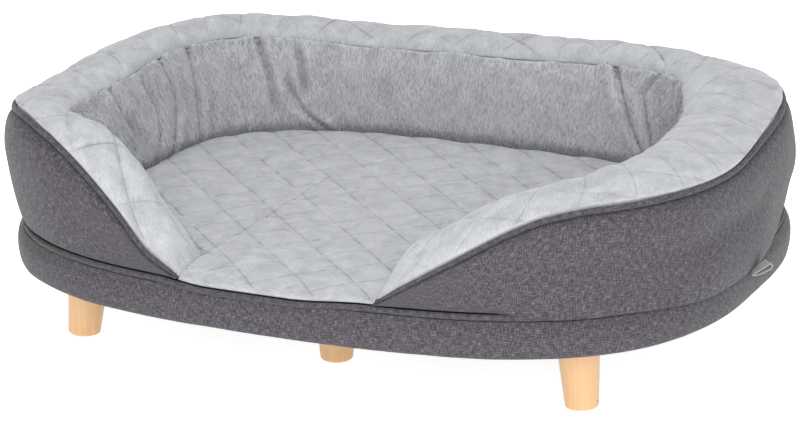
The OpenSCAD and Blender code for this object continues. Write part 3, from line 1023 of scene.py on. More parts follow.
def stitch(name: str, length: float, radius: float, sides: int = 5) -> Object:
    """Makes a stitch along Z, thickest at its middle and pointed at both ends.

    Args:
        name: Name of the form.
        length: Its length in millimetres.
        radius: Its radius at the middle in millimetres.
        sides: Number of sides.

    Returns:
        The form, not linked to the scene.
    """
    turns = [2 * math.pi * k / sides for k in range(sides)]
    points = [(0.0, 0.0, -length / 2)]
    points += [(radius * math.cos(turn), radius * math.sin(turn), 0.0) for turn in turns]
    points.append((0.0, 0.0, length / 2))
    faces = []
    for k in range(sides):
        a, b = 1 + k, 1 + (k + 1) % sides
        faces += [(0, b, a), (a, b, sides + 1)]
    return small_form(name, points, faces)


def tuft(name: str, length: float, radius: float) -> Object:
    """Makes a tuft of pile that stands on Z, as a thin pyramid on three sides.

    Args:
        name: Name of the form.
        length: Its height in millimetres.
        radius: Its radius at the root in millimetres.

    Returns:
        The form, not linked to the scene.
    """
    points = [(radius * math.cos(turn), radius * math.sin(turn), -0.3) for turn in (0.0, 2.1, 4.2)]
    faces = [(0, 2, 1), (0, 1, 3), (1, 2, 3), (2, 0, 3)]
    return small_form(name, [*points, (0.0, 0.0, length)], faces)


# The platform


# Where the pad's tongue presses the front edge: along the length, as window takes it, and depth
PRESS_WINDOW = (-165.0, 75.0, 120.0, 100.0)
PRESS_FRONT = 315.0
PRESS_EASE = 50.0


def pressed(x: np.ndarray, y: np.ndarray) -> np.ndarray:
    """How far the front edge is pressed down and out between the arms, from 0 to 1.

    Args:
        x: Places along the length.
        y: Places along the depth.

    Returns:
        Shares, the largest left of the middle.
    """
    return window(x, *PRESS_WINDOW) * smooth((-y - PRESS_FRONT) / PRESS_EASE)


@dataclass
class Platform:
    """Board, foam, deck cloth, linen band, piping, dust cover and legs."""

    outline: Outline
    finishes: Finishes
    board_z: float = 86.5
    board_thickness: float = 12.0
    foam_thickness: float = 32.0
    cloth_thickness: float = 1.0
    linen_thickness: float = 1.2
    dust_cover_thickness: float = 0.6
    hem_width: float = 24.0
    band_fullness: float = 7.0
    foam_inset: float = 4.1
    welt_diameter: float = 7.5
    welt_inset: float = 4.05
    welt_z: float = 135.55
    press_out: float = 4.0
    press_down: float = 5.0
    plate_room: float = 77.6
    plates: tuple[tuple[float, float], ...] = (
        (-331.1, -230.5), (0.0, -202.0), (331.1, -230.5),
        (-331.1, 230.5), (0.0, 202.0), (331.1, 230.5),
    )
    ring_count: int = 700
    slab_rings: int = 240
    slab_reach: float = 374.0
    band_points: int = 44
    band_slack: Layers = ((0.9, 90, 3, 2.2), (0.35, 24, 4, 0.6))
    cover_points: int = 180
    plate_points: int = 48
    staple_gap: float = 42.0
    staple_span: float = 10.0
    staple_wire: float = 0.6

    @property
    def deck_z(self) -> float:
        """Top of the deck cloth."""
        return self.board_z + self.board_thickness + self.foam_thickness + self.cloth_thickness

    @property
    def hem_z(self) -> float:
        """Underside of the linen that is folded in under the board."""
        return self.board_z - self.linen_thickness

    def runs(self) -> np.ndarray:
        """Lengths of the band's and the piping's rings."""
        return self.outline.even(self.ring_count)

    def slab(
        self, name: str, inset: float, low: float, high: float, edge: float,
        finish: Material,
    ) -> Object:
        """Makes a flat slab with a rounded edge that follows the outline.

        Args:
            name: Name of the piece.
            inset: Inset of its side from the outline.
            low: Height of its underside.
            high: Height of its top.
            edge: Radius of its rounded edges.
            finish: The material.

        Returns:
            The new piece.
        """
        angles = np.radians([-90, -60, -30, 0, 0, 30, 60, 90])
        centre_z = np.array([low + edge] * 4 + [high - edge] * 4)
        rim = np.stack([inset + edge - edge * np.cos(angles), centre_z + edge * np.sin(angles)], 1)
        # Insets of the points past the rim
        steps = (60, 160, 300)
        inner = np.array([[k, high] for k in steps] + [[k, low] for k in steps[::-1]])
        rows = np.concatenate([rim, inner])
        run = self.outline.even(self.slab_rings)
        rings = self.outline.stand(run, np.repeat(rows[None], self.slab_rings, axis=0))
        # Past its rim the slab is the outline shrunk towards the centre, so no ring turns over
        place, _ = self.outline.look_up(run)
        first = len(rim)
        rings[:, first:, :2] = place[:, None] * (1 - rows[first:, :1] / self.slab_reach)
        # The innermost points close on the centre
        rings[:, first + 2:first + 4, :2] *= 0.0001
        return swept_piece(name, rings, finish, closed_run=True)

    def build(self) -> None:
        """Builds and hands over every piece of the platform."""
        self.dress_frame()
        foam = self.slab(
            "foam_slab", self.foam_inset, self.board_z + self.board_thickness,
            self.deck_z - self.cloth_thickness, 3.0, self.finishes.foam,
        )
        hand_over(foam, Body.PLATFORM, ["base_foam"])
        deck = self.slab(
            "deck_cloth_sheet", self.foam_inset, self.deck_z - self.cloth_thickness, self.deck_z,
            0.45, self.finishes.lining,
        )
        hand_over(deck, Body.PLATFORM, ["deck_cloth"])
        band = self.band()
        hand_over(band, Body.PLATFORM, ["side_band"])
        hand_over(self.piping(), Body.PLATFORM, ["base_welt"])
        cover = self.dust_cover()
        hand_over(cover, Body.PLATFORM, ["dust_cover"])
        hand_over(self.staples(), Body.PLATFORM)

    def dress_frame(self) -> None:
        """Gives the board, the legs and their steel fixings their finishes."""
        nodes = {o["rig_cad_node"]: o for o in bpy.context.scene.objects if "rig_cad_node" in o}
        for name, node in nodes.items():
            if name.startswith("leg_") and name != "leg_plates":
                finish = self.finishes.pine
            elif name == "platform_board":
                finish = self.finishes.plywood
            elif name in ("leg_plates", "hanger_bolts", "plate_screws"):
                finish = self.finishes.zinc
            else:
                continue
            node.data.materials.clear()
            node.data.materials.append(finish)
            LOG.info("%s: dressed in %s", name, finish.name)

    def band(self) -> Object:
        """Makes the linen band, full round its middle and folded in under the board.

        Returns:
            The new piece.
        """
        run = self.runs()
        low, high = self.hem_z, self.deck_z
        full = self.band_fullness
        knots = np.array(
            [
                [self.hem_width, low], [6.0, low], [-0.35 * full, mix(low, high, 0.05)],
                [-0.8 * full, mix(low, high, 0.22)], [-full, mix(low, high, 0.5)],
                [-0.85 * full, mix(low, high, 0.76)], [-0.18 * full, mix(low, high, 0.96)],
                [0.5, high + 0.4],
            ]
        )
        moved = np.zeros(knots.shape)
        moved[5:] = [[-0.25, -0.3], [-0.75, -0.95], [-0.62, -0.82]]
        moved *= [self.press_out, self.press_down]
        place, _ = self.outline.look_up(run)
        # The band gives way later than the piping, which keeps it closed against the piping
        share = pressed(*place.T)[:, None, None] ** 1.5
        front = through_knots(knots + share * moved, self.band_points)
        back = front[:, ::-1].copy()
        back[:, :, 0] += self.linen_thickness
        back[:, -8:, 0] = front[:, 7::-1, 0]
        back[:, -8:, 1] += self.linen_thickness
        rings = self.outline.stand(run, np.concatenate([front, back[:, 1:-1]], axis=1))
        size = front.shape[1]
        normals = ring_normals(rings, True, True)
        shown = slice(4, size - 2)
        skin = rings[:, shown]
        share = np.sin(np.linspace(0, math.pi, size - 6)) ** 0.7
        skin += ripple(skin, self.band_slack)[:, :, None] * share[None, :, None] * normals[:, shown]
        return swept_piece("linen_band", rings, self.finishes.linen, closed_run=True)

    def piping(self) -> Object:
        """Makes the piping round the top of the band.

        Returns:
            The new piece.
        """
        place, _ = self.outline.look_up(self.runs())
        share = pressed(*place.T)
        return piping_piece(
            "base_piping", self.runs(), self.welt_inset - self.press_out * share,
            self.welt_z - self.press_down * share, self.welt_diameter / 2, self.outline,
            self.finishes.linen, closed=True,
        )

    def dust_cover(self) -> Object:
        """Makes the non-woven cover under the board, with a round opening for each leg plate.

        Returns:
            The new piece.
        """
        curve = bpy.data.curves.new("dust_cover_shape", "CURVE")
        curve.dimensions = "2D"
        curve.fill_mode = "BOTH"
        curve.extrude = self.dust_cover_thickness / 2 * MM
        place, normal = self.outline.look_up(self.outline.even(self.cover_points))
        loops = [place - self.hem_width / 2 * normal]
        turn = np.linspace(0, 2 * math.pi, self.plate_points + 1)[:-1]
        room = self.plate_room / 2 * np.stack([np.cos(turn), np.sin(turn)], 1)
        loops += [np.array(plate) + room for plate in self.plates]
        for loop in loops:
            spline = curve.splines.new("POLY")
            spline.points.add(len(loop) - 1)
            for point, (x, y) in zip(spline.points, loop):
                point.co = (x * MM, y * MM, 0, 1)
            spline.use_cyclic_u = True
        curve.materials.append(self.finishes.non_woven)
        holder = into_scene(bpy.data.objects.new("dust_cover_shape", curve))
        piece = plain_copy(holder, "dust_cover_cloth")
        middle = self.hem_z - self.dust_cover_thickness / 2
        piece.data.transform(Matrix.Translation((0, 0, middle * MM)))
        return piece

    def staples(self) -> Object:
        """Lays wire staples round the dust cover's edge.

        Returns:
            The new piece.
        """
        form = stitch("staple_crown", self.staple_span, self.staple_wire, 6)
        form.data.transform(Matrix.Rotation(math.pi / 2, 4, "Y"))
        count = 360
        run = np.arange(count + 1) * self.outline.total / count
        low = self.hem_z - self.dust_cover_thickness - 0.35
        rows = np.tile([[self.hem_width / 2 + 6, low]], (count + 1, 1, 1))
        path = self.outline.stand(run, rows)[:, 0]
        maker = StitchRow("staples round the dust cover", form, self.finishes.zinc)
        return maker.run([path], self.staple_gap, "dust_cover_staples")


PIPING_SIDES = 18
PIPING_PUCKER: Layers = ((0.22, 9.0, 21, 1.0),)


def piping_piece(
    name: str, run: np.ndarray, inset: np.ndarray, height: np.ndarray, radius: float,
    outline: Outline, finish: Material, closed: bool,
    outward: np.ndarray | None = None, taper: np.ndarray | None = None,
) -> Object:
    """Makes a length of covered piping cord.

    Args:
        name: Name of the piece.
        run: Length along the outline of each ring.
        inset: Inset of each ring's middle.
        height: Height of each ring's middle.
        radius: Radius of the covered cord.
        outline: The outline that it follows.
        finish: The material.
        closed: Whether it runs all the way round.
        outward: Directions of the rings, where they aren't square to the outline.
        taper: A share of the radius for each ring.

    Returns:
        The new piece.
    """
    angle = np.arange(PIPING_SIDES) / PIPING_SIDES * 2 * math.pi
    swell = np.full(len(run), 1.0) if taper is None else taper
    reach = radius * swell[:, None] * np.ones(PIPING_SIDES)
    # The cover pulls flat towards its seam, under the cord and inward
    seam = np.exp(-(((angle - 1.5 * math.pi + math.pi) % (2 * math.pi) - math.pi) / 0.35) ** 2)
    rows = np.stack(
        [
            inset[:, None] - reach * np.cos(angle),
            height[:, None] + reach * np.sin(angle) * (1 + 0.05 * seam),
        ],
        axis=2,
    )
    place, normal = outline.look_up(run)
    rings = outline.stand_turned(place, normal if outward is None else outward, rows)
    normals = ring_normals(rings, closed, True)
    rings = rings + ripple(rings, PIPING_PUCKER)[:, :, None] * normals
    return swept_piece(name, rings, finish, closed_run=closed)


# The bed


@dataclass(frozen=True)
class Lie:
    """How one side of the roll lies, by the distance from its arm's tip.

    A row holds the distance, then the piping's height, the crown's height, the crown's width and
    the piping's inset, all from the bolster's foot. Last come how far the linen wall bulges out,
    at which share of its height, and what share of that bulge is left at its top.
    """

    rows: tuple[tuple[float, ...], ...]

    def at(self, away: np.ndarray) -> np.ndarray:
        """Runs a smooth curve through the rows, which doesn't swing past them.

        Args:
            away: Distances from the arm's tip.

        Returns:
            One row of the table's other columns for each distance.
        """
        table = np.array(self.rows)
        spots, values = table[:, 0], table[:, 1:]
        steps = np.diff(spots)[:, None]
        rises = np.diff(values, axis=0) / steps
        agree = rises[:-1] * rises[1:] > 0
        halves = np.where(agree, rises[:-1] + rises[1:], 1.0)
        inner = np.where(agree, 2 * rises[:-1] * rises[1:] / halves, 0.0)
        slopes = np.concatenate([rises[:1], inner, rises[-1:] * 0])
        held = np.clip(away, spots[0], spots[-1])
        k = np.clip(np.searchsorted(spots, held, side="right") - 1, 0, len(spots) - 2)
        step = steps[k]
        t = (held - spots[k])[:, None] / step
        return (
            (1 + 2 * t) * (1 - t) ** 2 * values[k] + t * (1 - t) ** 2 * step * slopes[k]
            + t**2 * (3 - 2 * t) * values[k + 1] - t**2 * (1 - t) * step * slopes[k + 1]
        )


@dataclass(frozen=True)
class Roll:
    """The roll's sizes at each of its rings."""

    run: np.ndarray
    away: np.ndarray
    piping: np.ndarray
    crown: np.ndarray
    width: np.ndarray
    piping_inset: np.ndarray
    bulge: np.ndarray
    peak: np.ndarray
    top: np.ndarray
    seam_gap: float = 3.22

    @property
    def seam(self) -> np.ndarray:
        """Height of the outer seam, drawn down to nothing at the arm tips."""
        cap = mix(0.8, 0.95, smooth(self.away / 120))
        return np.minimum(self.piping - self.seam_gap, cap * self.crown)

    @property
    def seam_inset(self) -> np.ndarray:
        """Inset of the outer seam."""
        return self.piping_inset + self.seam_gap

    @property
    def full(self) -> np.ndarray:
        """Share of its full height that the wall has."""
        return np.minimum(1, self.seam / 126.8)


@dataclass
class Bolster:
    """The C-shaped roll: linen wall, piping, quilted crown, long-pile inner wall.

    It lies unevenly, as a soft bed does: the left arm stands higher and leans outward.
    """

    outline: Outline
    finishes: Finishes
    foot_z: float = 140.7
    floor_z: float = 132.8
    tray_inset: float = 9.4
    foot_inset: float = 2.0
    mouth_width: float = 270.0
    right: Lie = Lie(
        (
            (0, 5.3, 47.4, 78.3, 5.75, 9, 0.8, 0.8),
            (40, 29.5, 68.3, 83.6, 5.75, 9.5, 0.8, 0.8),
            (80, 52.9, 91.4, 88.9, 5.75, 10, 0.8, 0.8),
            (120, 75.7, 110.8, 93.8, 5.5, 11, 0.8, 0.8),
            (160, 96.9, 124.5, 98.2, 4.6, 11.7, 0.8, 0.8),
            (200, 112.6, 132.6, 102.1, 3.2, 12.3, 0.8, 0.8),
            (260, 122.1, 140.0, 104.8, 1.2, 13, 0.8, 0.8),
            (340, 123.1, 147.4, 108.6, 0, 14, 0.8, 0.8),
            (480, 120.2, 149.5, 111.9, 1, 14, 0.75, 0.7),
            (650, 134.5, 148.5, 125.1, 4, 14, 0.6, 0.5),
            (800, 140.5, 164.7, 130.7, 6, 14, 0.52, 0.3),
            (950, 120.3, 161.2, 103.4, 5, 14, 0.52, 0.3),
            (1100, 117.7, 155.1, 92.7, 3, 15, 0.55, 0.4),
            (1284, 120.3, 148.0, 97.2, 2, 16, 0.55, 0.4),
        )
    )
    left: Lie = Lie(
        (
            (0, 4.0, 26.0, 68.4, 5.75, 9, 0.8, 0.8),
            (40, 25.0, 60.0, 72.0, 5.75, 9.5, 0.8, 0.8),
            (80, 64.1, 102.7, 75.3, 5.5, 11, 0.8, 0.8),
            (120, 98.6, 134.9, 74.1, 3, 15, 0.8, 0.8),
            (160, 125.4, 155.7, 69.4, 0, 20, 0.8, 0.85),
            (200, 144.3, 164.2, 62.7, -3.5, 23.5, 0.8, 0.85),
            (260, 156.3, 168.6, 60.9, -6, 23, 0.76, 0.8),
            (340, 146.6, 159.7, 66.5, -2, 20, 0.65, 0.65),
            (480, 133.6, 147.4, 75.8, 3, 16.5, 0.55, 0.4),
            (650, 129.9, 163.0, 87.5, 4, 16, 0.5, 0.4),
            (800, 124.0, 163.0, 87.3, 4, 17, 0.5, 0.4),
            (950, 122.8, 154.8, 89.9, 4, 16, 0.52, 0.4),
            (1100, 121.9, 144.9, 94.5, 3, 16, 0.55, 0.4),
            (1284, 120.3, 148.0, 97.2, 2, 16, 0.55, 0.4),
        )
    )
    turn_run: float = 199.0
    tip_radius: float = 35.0
    inner_fullness: float = 6.0
    crease_inset: float = 95.0
    linen_thickness: float = 1.2
    welt_diameter: float = 7.5
    inner_seam_share: float = 0.85
    overhang: float = 9.5
    quilt_depth: float = 5.0
    quilt_spacing: float = 66.0
    quilt_angles: tuple[float, float] = (34.0, 118.0)
    quilt_shifts: tuple[float, float] = (0.1, 0.35)
    ring_step: float = 3.4
    crown_rows: int = 43
    crown_warp: Layers = ((6.0, 150, 7, 1.0),)
    crown_uneven: Layers = ((0.45, 120, 9, 1.0),)
    crown_ripples: Layers = ((1.1, 34, 12, 1.0), (0.55, 12, 13, 1.0))
    wall_ripples: Layers = ((1.8, 48, 31, 0.55), (0.9, 15, 32, 0.6))
    cover_slack: Layers = ((1.4, 110, 41, 1.6), (0.5, 30, 42, 1.0))
    cover_pull: Layers = ((0.45, 16, 43, 0.25),)
    wall_points: int = 40
    cover_points: int = 56
    wall_depth: float = 6.5
    pile_length: float = 6.4
    pile_radius: float = 0.42
    pile_density: float = 215000.0
    pile_lay: float = 1.2
    # Each gather of the inner wall, as lengths along the outline and shares of the way down
    gathers: tuple[tuple[tuple[float, float], ...], ...] = (
        ((1815, -0.05), (1790, 0.39), (1782, 0.72)),
        ((1731, 0.1), (1720, 0.6)),
        ((1756, 0.42), (1727, 0.76), (1683, 0.95)),
        ((1982, -0.05), (1971, 0.53), (1967, 0.95)),
        ((2062, -0.05), (2040, 0.3), (2030, 0.6), (2050, 0.95)),
        ((2112, 0.1), (2086, 0.45), (2082, 0.8)),
        ((2190, -0.05), (2172, 0.3), (2140, 0.62)),
        ((1221, -0.05), (1190, 0.53), (1163, 0.82)),
        ((1123, 0.0), (1160, 0.22), (1143, 0.75)),
        ((1036, 0.05), (1048, 0.6)),
    )
    gather_depth: float = 8.0
    gather_width: float = 6.5
    puff_away: float = 17.0
    puff_width: float = 12.0
    # Where the right side sags over the base's piping and slumps below it, as window takes them
    sag_window: tuple[float, float, float, float] = (265.0, 90.0, 860.0, 110.0)
    slump_window: tuple[float, float, float, float] = (420.0, 160.0, 800.0, 110.0)

    @property
    def tip_run(self) -> float:
        """Length from the middle of the front to the right arm's tip."""
        return self.outline.run_at(self.mouth_width / 2)

    def runs(self) -> np.ndarray:
        """Spaces the rings, close together near the arm tips.

        Returns:
            One length along the outline for each ring.
        """
        start = self.tip_run - self.tip_radius / 6 + 0.05
        near = start + 30 * np.linspace(0, 1, 16) ** 1.5
        middle = np.arange(near[-1] + self.ring_step, self.outline.total - near[-1], self.ring_step)
        return np.concatenate([near, middle, self.outline.total - near[::-1]])

    def distance(self, run: np.ndarray) -> np.ndarray:
        """Distance along the outline from the nearer arm tip."""
        return np.minimum(run, self.outline.total - run) - self.tip_run

    def facing(self, run: np.ndarray) -> tuple[np.ndarray, np.ndarray]:
        """Looks up the outline, with its directions turned square to the front near the arm tips.

        Args:
            run: Lengths along the outline.

        Returns:
            Places, and unit outward directions.
        """
        place, normal = self.outline.look_up(run)
        turn = smooth(self.distance(run) / self.turn_run)[:, None]
        blended = mix(np.array([[0.0, -1.0]]), normal, turn)
        return place, blended / np.linalg.norm(blended, axis=1, keepdims=True)

    def roll(self, run: np.ndarray) -> Roll:
        """Looks up the roll's sizes, with the arms' ends rounded off.

        Args:
            run: Lengths along the outline.

        Returns:
            The sizes at those lengths.
        """
        away = self.distance(run)
        on_left = (run > self.outline.total / 2)[:, None]
        piping, crown, width, *wall = np.where(on_left, self.left.at(away), self.right.at(away)).T
        t = np.clip((away + self.tip_radius / 6) / self.tip_radius, 0, 1)
        crown = crown * np.sqrt(1 - (1 - t) ** 2)
        return Roll(run, away, piping, crown, width, *wall)

    def build(self) -> None:
        """Builds and hands over every piece of the bolster."""
        crown, quilting = self.crown()
        hand_over(crown, Body.BED, ["bolster_top_panel", "bolster_filling"])
        wall = self.inner_wall()
        hand_over(wall, Body.BED, ["bolster_inner_panel"])
        hair = tuft("tuft", self.pile_length, self.pile_radius)
        maker = Pile("plush pile", hair, self.finishes.long_plush)
        pile = maker.grow(wall, self.pile_density, self.pile_lay, "inner_wall_pile")
        self.comb_uv(pile)
        hand_over(pile, Body.BED)
        cover = self.outer_cover()
        hand_over(cover, Body.BED, ["bolster_outer_cover"])
        hand_over(self.piping(), Body.BED, ["bolster_welt"])
        base = self.base_cloth()
        hand_over(base, Body.BED, ["bolster_base_cloth"])
        sewn = quilting_thread(
            "stitches along the quilting", "crown_quilting_thread", quilting, self.finishes.thread
        )
        hand_over(sewn, Body.BED)

    @staticmethod
    def comb_uv(pile: Object) -> None:
        """Gives the pile a UV map from where each tuft stands, so that its colour varies.

        Args:
            pile: The grown pile.
        """
        mesh = pile.data
        spots = np.zeros(len(mesh.vertices) * 3)
        mesh.vertices.foreach_get("co", spots)
        x, y, z = spots.reshape(-1, 3).T
        lay_cloth(mesh, np.stack([x + 0.7 * y, z * 1.3], axis=1)[corner_points(mesh)])

    def quilt_lines(self, along: np.ndarray, across: np.ndarray) -> list[np.ndarray]:
        """Position in both families of quilting lines, in line spacings.

        Args:
            along: Length along the roll.
            across: Length across the crown.

        Returns:
            One array for each family. A line lies at each whole number.
        """
        found = []
        for angle, shift in zip(self.quilt_angles, self.quilt_shifts):
            turn = math.radians(angle)
            square = -along * math.sin(turn) - across * math.cos(turn)
            found.append(square / self.quilt_spacing + shift)
        return found

    def skins(
        self, run: np.ndarray, front: np.ndarray, back: np.ndarray
    ) -> tuple[np.ndarray, np.ndarray, np.ndarray]:
        """Stands up sections whose backs are hidden.

        Args:
            run: One length for each section.
            front: Sections of the shown side, points and [inset, height].
            back: The same of the hidden side, which runs back along the inside.

        Returns:
            The rings, the part of them that shows, and its outward directions.
        """
        rings = self.outline.stand_turned(*self.facing(run), np.concatenate([front, back], axis=1))
        shown = front.shape[1]
        return rings, rings[:, :shown], ring_normals(rings, False, True)[:, :shown]

    def crown_sections(self, roll: Roll, u: np.ndarray) -> tuple[np.ndarray, np.ndarray]:
        """Arches the crown from the outer seam to the inner one.

        Args:
            roll: The roll's sizes.
            u: Share of the width at each row.

        Returns:
            Sections of its top, and of its hidden underside.
        """
        away, low, high = roll.away, roll.seam[:, None], roll.crown[:, None]
        inner = high * self.inner_seam_share
        lift = high - (low + inner) / 2
        arch = (1 - (2 * u - 1) ** 2) ** 0.5
        base = self.foot_z + mix(low, inner, u)
        inset = mix(roll.seam_inset[:, None], roll.width[:, None], u)
        # The plush swells out over the piping, most of all round the back
        over = self.overhang * mix(0.6, 1.0, smooth((away - 230) / 200)) * smooth(away / 90)
        clear = smooth((lift * arch + (inner - low) * u - 4) / 8)
        inset = inset - over[:, None] * clear * (1 - smooth((u - 0.05) / 0.32))
        front = np.stack([inset, base + lift * arch], axis=2)
        under = front[:, ::-1][:, 1:-1].copy()
        under[:, :, 1] = mix(base[:, ::-1][:, 1:-1], under[:, :, 1], 0.55)
        under[:, :, 1] -= 3 * np.minimum(1, high / 40)
        under[:, :, 0] = mix(53.0, under[:, :, 0], 0.93)
        return front, under

    def crown(self) -> tuple[Object, list[np.ndarray]]:
        """Makes the quilted crown.

        Returns:
            The new piece, and the polylines of its quilting lines in millimetres.
        """
        run = self.runs()
        roll = self.roll(run)
        away = roll.away
        u = (1 - np.cos(np.linspace(0, math.pi, self.crown_rows))) / 2
        rings, skin, normals = self.skins(run, *self.crown_sections(roll, u))
        steps = np.linalg.norm(np.diff(skin, axis=1), axis=2)
        across = np.concatenate([np.zeros((len(run), 1)), np.cumsum(steps, axis=1)], axis=1)
        across = across - across[:, -1:] / 2
        warp = ripple(skin, self.crown_warp)
        families = self.quilt_lines(run[:, None] + warp, across + warp)
        ridges = [np.abs(np.sin(math.pi * f)) for f in families]
        puff = (ridges[0] * ridges[1]) ** 0.42
        crease = np.minimum(ridges[0], ridges[1])
        stitched = np.exp(-((crease / 0.09) ** 2))
        uneven = 0.75 + ripple(skin, self.crown_uneven)
        edge = smooth(np.minimum(u, 1 - u) / 0.12)[None, :] * smooth(away / 26)[:, None]
        swell = self.quilt_depth * (puff - 0.85) - 1.5 * stitched
        move = (swell * uneven + ripple(skin, self.crown_ripples)) * edge
        skin += move[:, :, None] * normals
        piece = swept_piece("bolster_crown", rings, self.finishes.plush)
        spots = np.zeros(rings.shape)
        shown = spots[:, :self.crown_rows]
        shown[:, :, 0], shown[:, :, 1] = families
        # The lines' painted crease shade is strongest round the back, and fades over the arms
        middle = np.abs(run - self.outline.total / 2)
        faint = mix(0.6, 0.3, smooth((middle - 250) / 400))[:, None]
        nearest = np.where(ridges[0] < ridges[1], families[0], families[1])
        strong = 1 + 0.6 * np.cos(math.pi * nearest)
        shown[:, :, 2] = faint * strong * edge * np.clip(0.2 + 0.8 * uneven, 0, 1)
        mark_quilting(piece, spots)
        return piece, self.thread_paths(skin, families, u, away)

    @staticmethod
    def thread_paths(
        skin: np.ndarray, families: list[np.ndarray], u: np.ndarray, away: np.ndarray
    ) -> list[np.ndarray]:
        """Follows each quilting line over the crown.

        Args:
            skin: The crown's rings.
            families: Position in each family of lines.
            u: Share of the width at each row.
            away: Distance of each ring from the nearer tip.

        Returns:
            Polylines in millimetres.
        """
        paths = []
        rows = np.nonzero((u > 0.05) & (u < 0.95))[0]
        for lines in families:
            for number in range(int(np.floor(lines.min())), int(np.ceil(lines.max())) + 1):
                spots: list[np.ndarray] = []
                last = None
                for row in rows:
                    gap = lines[:, row] - number
                    cross = np.nonzero((gap[:-1] * gap[1:] < 0) & (away[:-1] > 30))[0]
                    if last is not None:
                        cross = cross[np.abs(cross - last) < 25]
                    if len(cross) == 0:
                        if len(spots) > 3:
                            paths.append(np.array(spots))
                        spots, last = [], None
                        continue
                    k = cross[0]
                    share = gap[k] / (gap[k] - gap[k + 1])
                    spots.append(mix(skin[k, row], skin[k + 1, row], share))
                    last = k
                if len(spots) > 3:
                    paths.append(np.array(spots))
        return paths

    def wall_knots(self, roll: Roll, seam: np.ndarray, share: np.ndarray) -> np.ndarray:
        """Sections of the inner wall, from under its lip to the foot.

        Args:
            roll: The roll's sizes.
            seam: Height of the inner seam at each ring.
            share: Share of its full thickness that the lip has.

        Returns:
            Sections, knots and [inset, height].
        """
        foot, crease, width = self.foot_z, self.crease_inset, roll.width
        bulge = self.inner_fullness * roll.full
        upper, lower = mix(crease, width, 0.75), mix(crease, width, 0.42)
        return sections(
            [
                (width - 3.5 * share, seam - 5.5 * share),
                (width + 1.0 * share, seam - 1.0 * share),
                (upper + 2.0 * share + 0.8 * bulge, mix(foot, seam, 0.78)),
                (lower + 1.0 * share + bulge, mix(foot, seam, 0.45)),
                (crease + 0.6 * bulge + 1, mix(foot, seam, 0.14)),
                (crease, self.floor_z + 6),
                (crease - 3, self.floor_z),
            ]
        )

    def gathered(self, run: np.ndarray, drop: np.ndarray) -> np.ndarray:
        """How the gathers draw the inner wall in and puff it out beside them.

        Args:
            run: Length of each ring.
            drop: Share of the way down from the seam to the foot, for each ring and point.

        Returns:
            How far each point moves outward.
        """
        move = np.zeros(drop.shape)
        for fold in self.gathers:
            places, drops = np.array(sorted(fold, key=lambda spot: spot[1])).T
            inside = smooth((drop - drops[0]) / 0.15 + 0.6)
            inside = inside * smooth((drops[-1] - drop) / 0.2 + 0.5)
            beside = np.abs(run[:, None] - np.interp(drop, drops, places))
            groove = np.exp(-((beside / self.gather_width) ** 2))
            puff = np.exp(-(((beside - self.puff_away) / self.puff_width) ** 2))
            move += inside * (0.35 * puff - groove) * self.gather_depth
        return np.clip(move, -9, 4)

    def inner_wall(self) -> Object:
        """Makes the long-pile inner wall, with its gathers and its soft lip over the seam.

        Returns:
            The new piece.
        """
        run = self.runs()
        roll = self.roll(run)
        share = np.minimum(1, roll.crown / 60)
        seam = self.foot_z + roll.crown * self.inner_seam_share
        front = through_knots(self.wall_knots(roll, seam, share), self.wall_points)
        back = front[:, ::-1][:, 1:-1].copy()
        back[:, :, 0] -= self.wall_depth * share[:, None]
        rings, skin, normals = self.skins(run, front, back)
        count = self.wall_points
        drop = (seam[:, None] - front[:, :, 1]) / np.maximum(seam - self.foot_z, 1)[:, None]
        edge = smooth(np.linspace(0, 1, count) / 0.1)[None, :] * smooth(roll.away / 20)[:, None]
        move = (self.gathered(run, drop) + ripple(skin, self.wall_ripples)) * edge
        skin += move[:, :, None] * normals
        piece = swept_piece("bolster_inner_wall", rings, self.finishes.long_plush)
        group = piece.vertex_groups.new(name="pile")
        size = rings.shape[1]
        starts = np.nonzero(roll.away > 4)[0][:, None] * size
        # The pile is thickest at the lip and at the foot, where it is pushed out
        for rows, weight in ((range(2, 8), 1.0), (range(8, 26), 0.55), (range(26, count - 1), 0.9)):
            furred = (starts + np.array(rows)[None, :]).ravel()
            group.add(furred.tolist(), weight, "REPLACE")
        return piece

    def cover_knots(self, roll: Roll, flatter: np.ndarray) -> np.ndarray:
        """Sections of the linen wall, from its tuck under the foot to the outer seam.

        Args:
            roll: The roll's sizes.
            flatter: Share of its full form that each ring has, less near the arm tips.

        Returns:
            Sections, knots and [inset, height].
        """
        tall, foot = roll.seam, self.foot_z
        bulge = roll.bulge * roll.full
        # A full wall is slack low down, and a tight one leans out evenly
        power = mix(1.3, 0.55, smooth((roll.bulge - 12) / 12))
        sag, slump = window(roll.run, *self.sag_window), window(roll.run, *self.slump_window)
        tucked = ((15.4, foot), (11.5, foot), (8.5, foot), (6.5, foot), (4.6, foot + 1.0))
        sagged = ((15.4, foot), (4.4, foot + 0.2), (0.1, 139.7), (-1.3, 136.4), (-2.7, 134.2))
        lower = ((0.0, 0.0), (0.0, 0.0), (-2.0, -1.5), (-3.2, -5.0), (-4.6, -9.0))
        knots = [
            tuple(mix(a[k], b[k] + c[k] * slump, sag) for k in (0, 1))
            for a, b, c in zip(tucked, sagged, lower)
        ]
        for up, held in ((0.06, -4.9), (0.28, -4.2), (0.5, None), (0.74, None), (0.93, None)):
            above = np.clip((up - roll.peak) / (0.93 - roll.peak), 0, 1)
            out = np.minimum(1, up / roll.peak) ** power * mix(1.0, roll.top, above**1.5)
            inset = mix(self.foot_inset + 1.0, self.foot_inset, min(1, up / 0.3)) - bulge * out
            if held is not None:
                inset = mix(inset, np.minimum(inset, held - 7.5 * slump), sag)
            knots.append((inset, foot + up * tall + flatter * (up < 0.1)))
        return sections([*knots, (roll.seam_inset, foot + tall)])

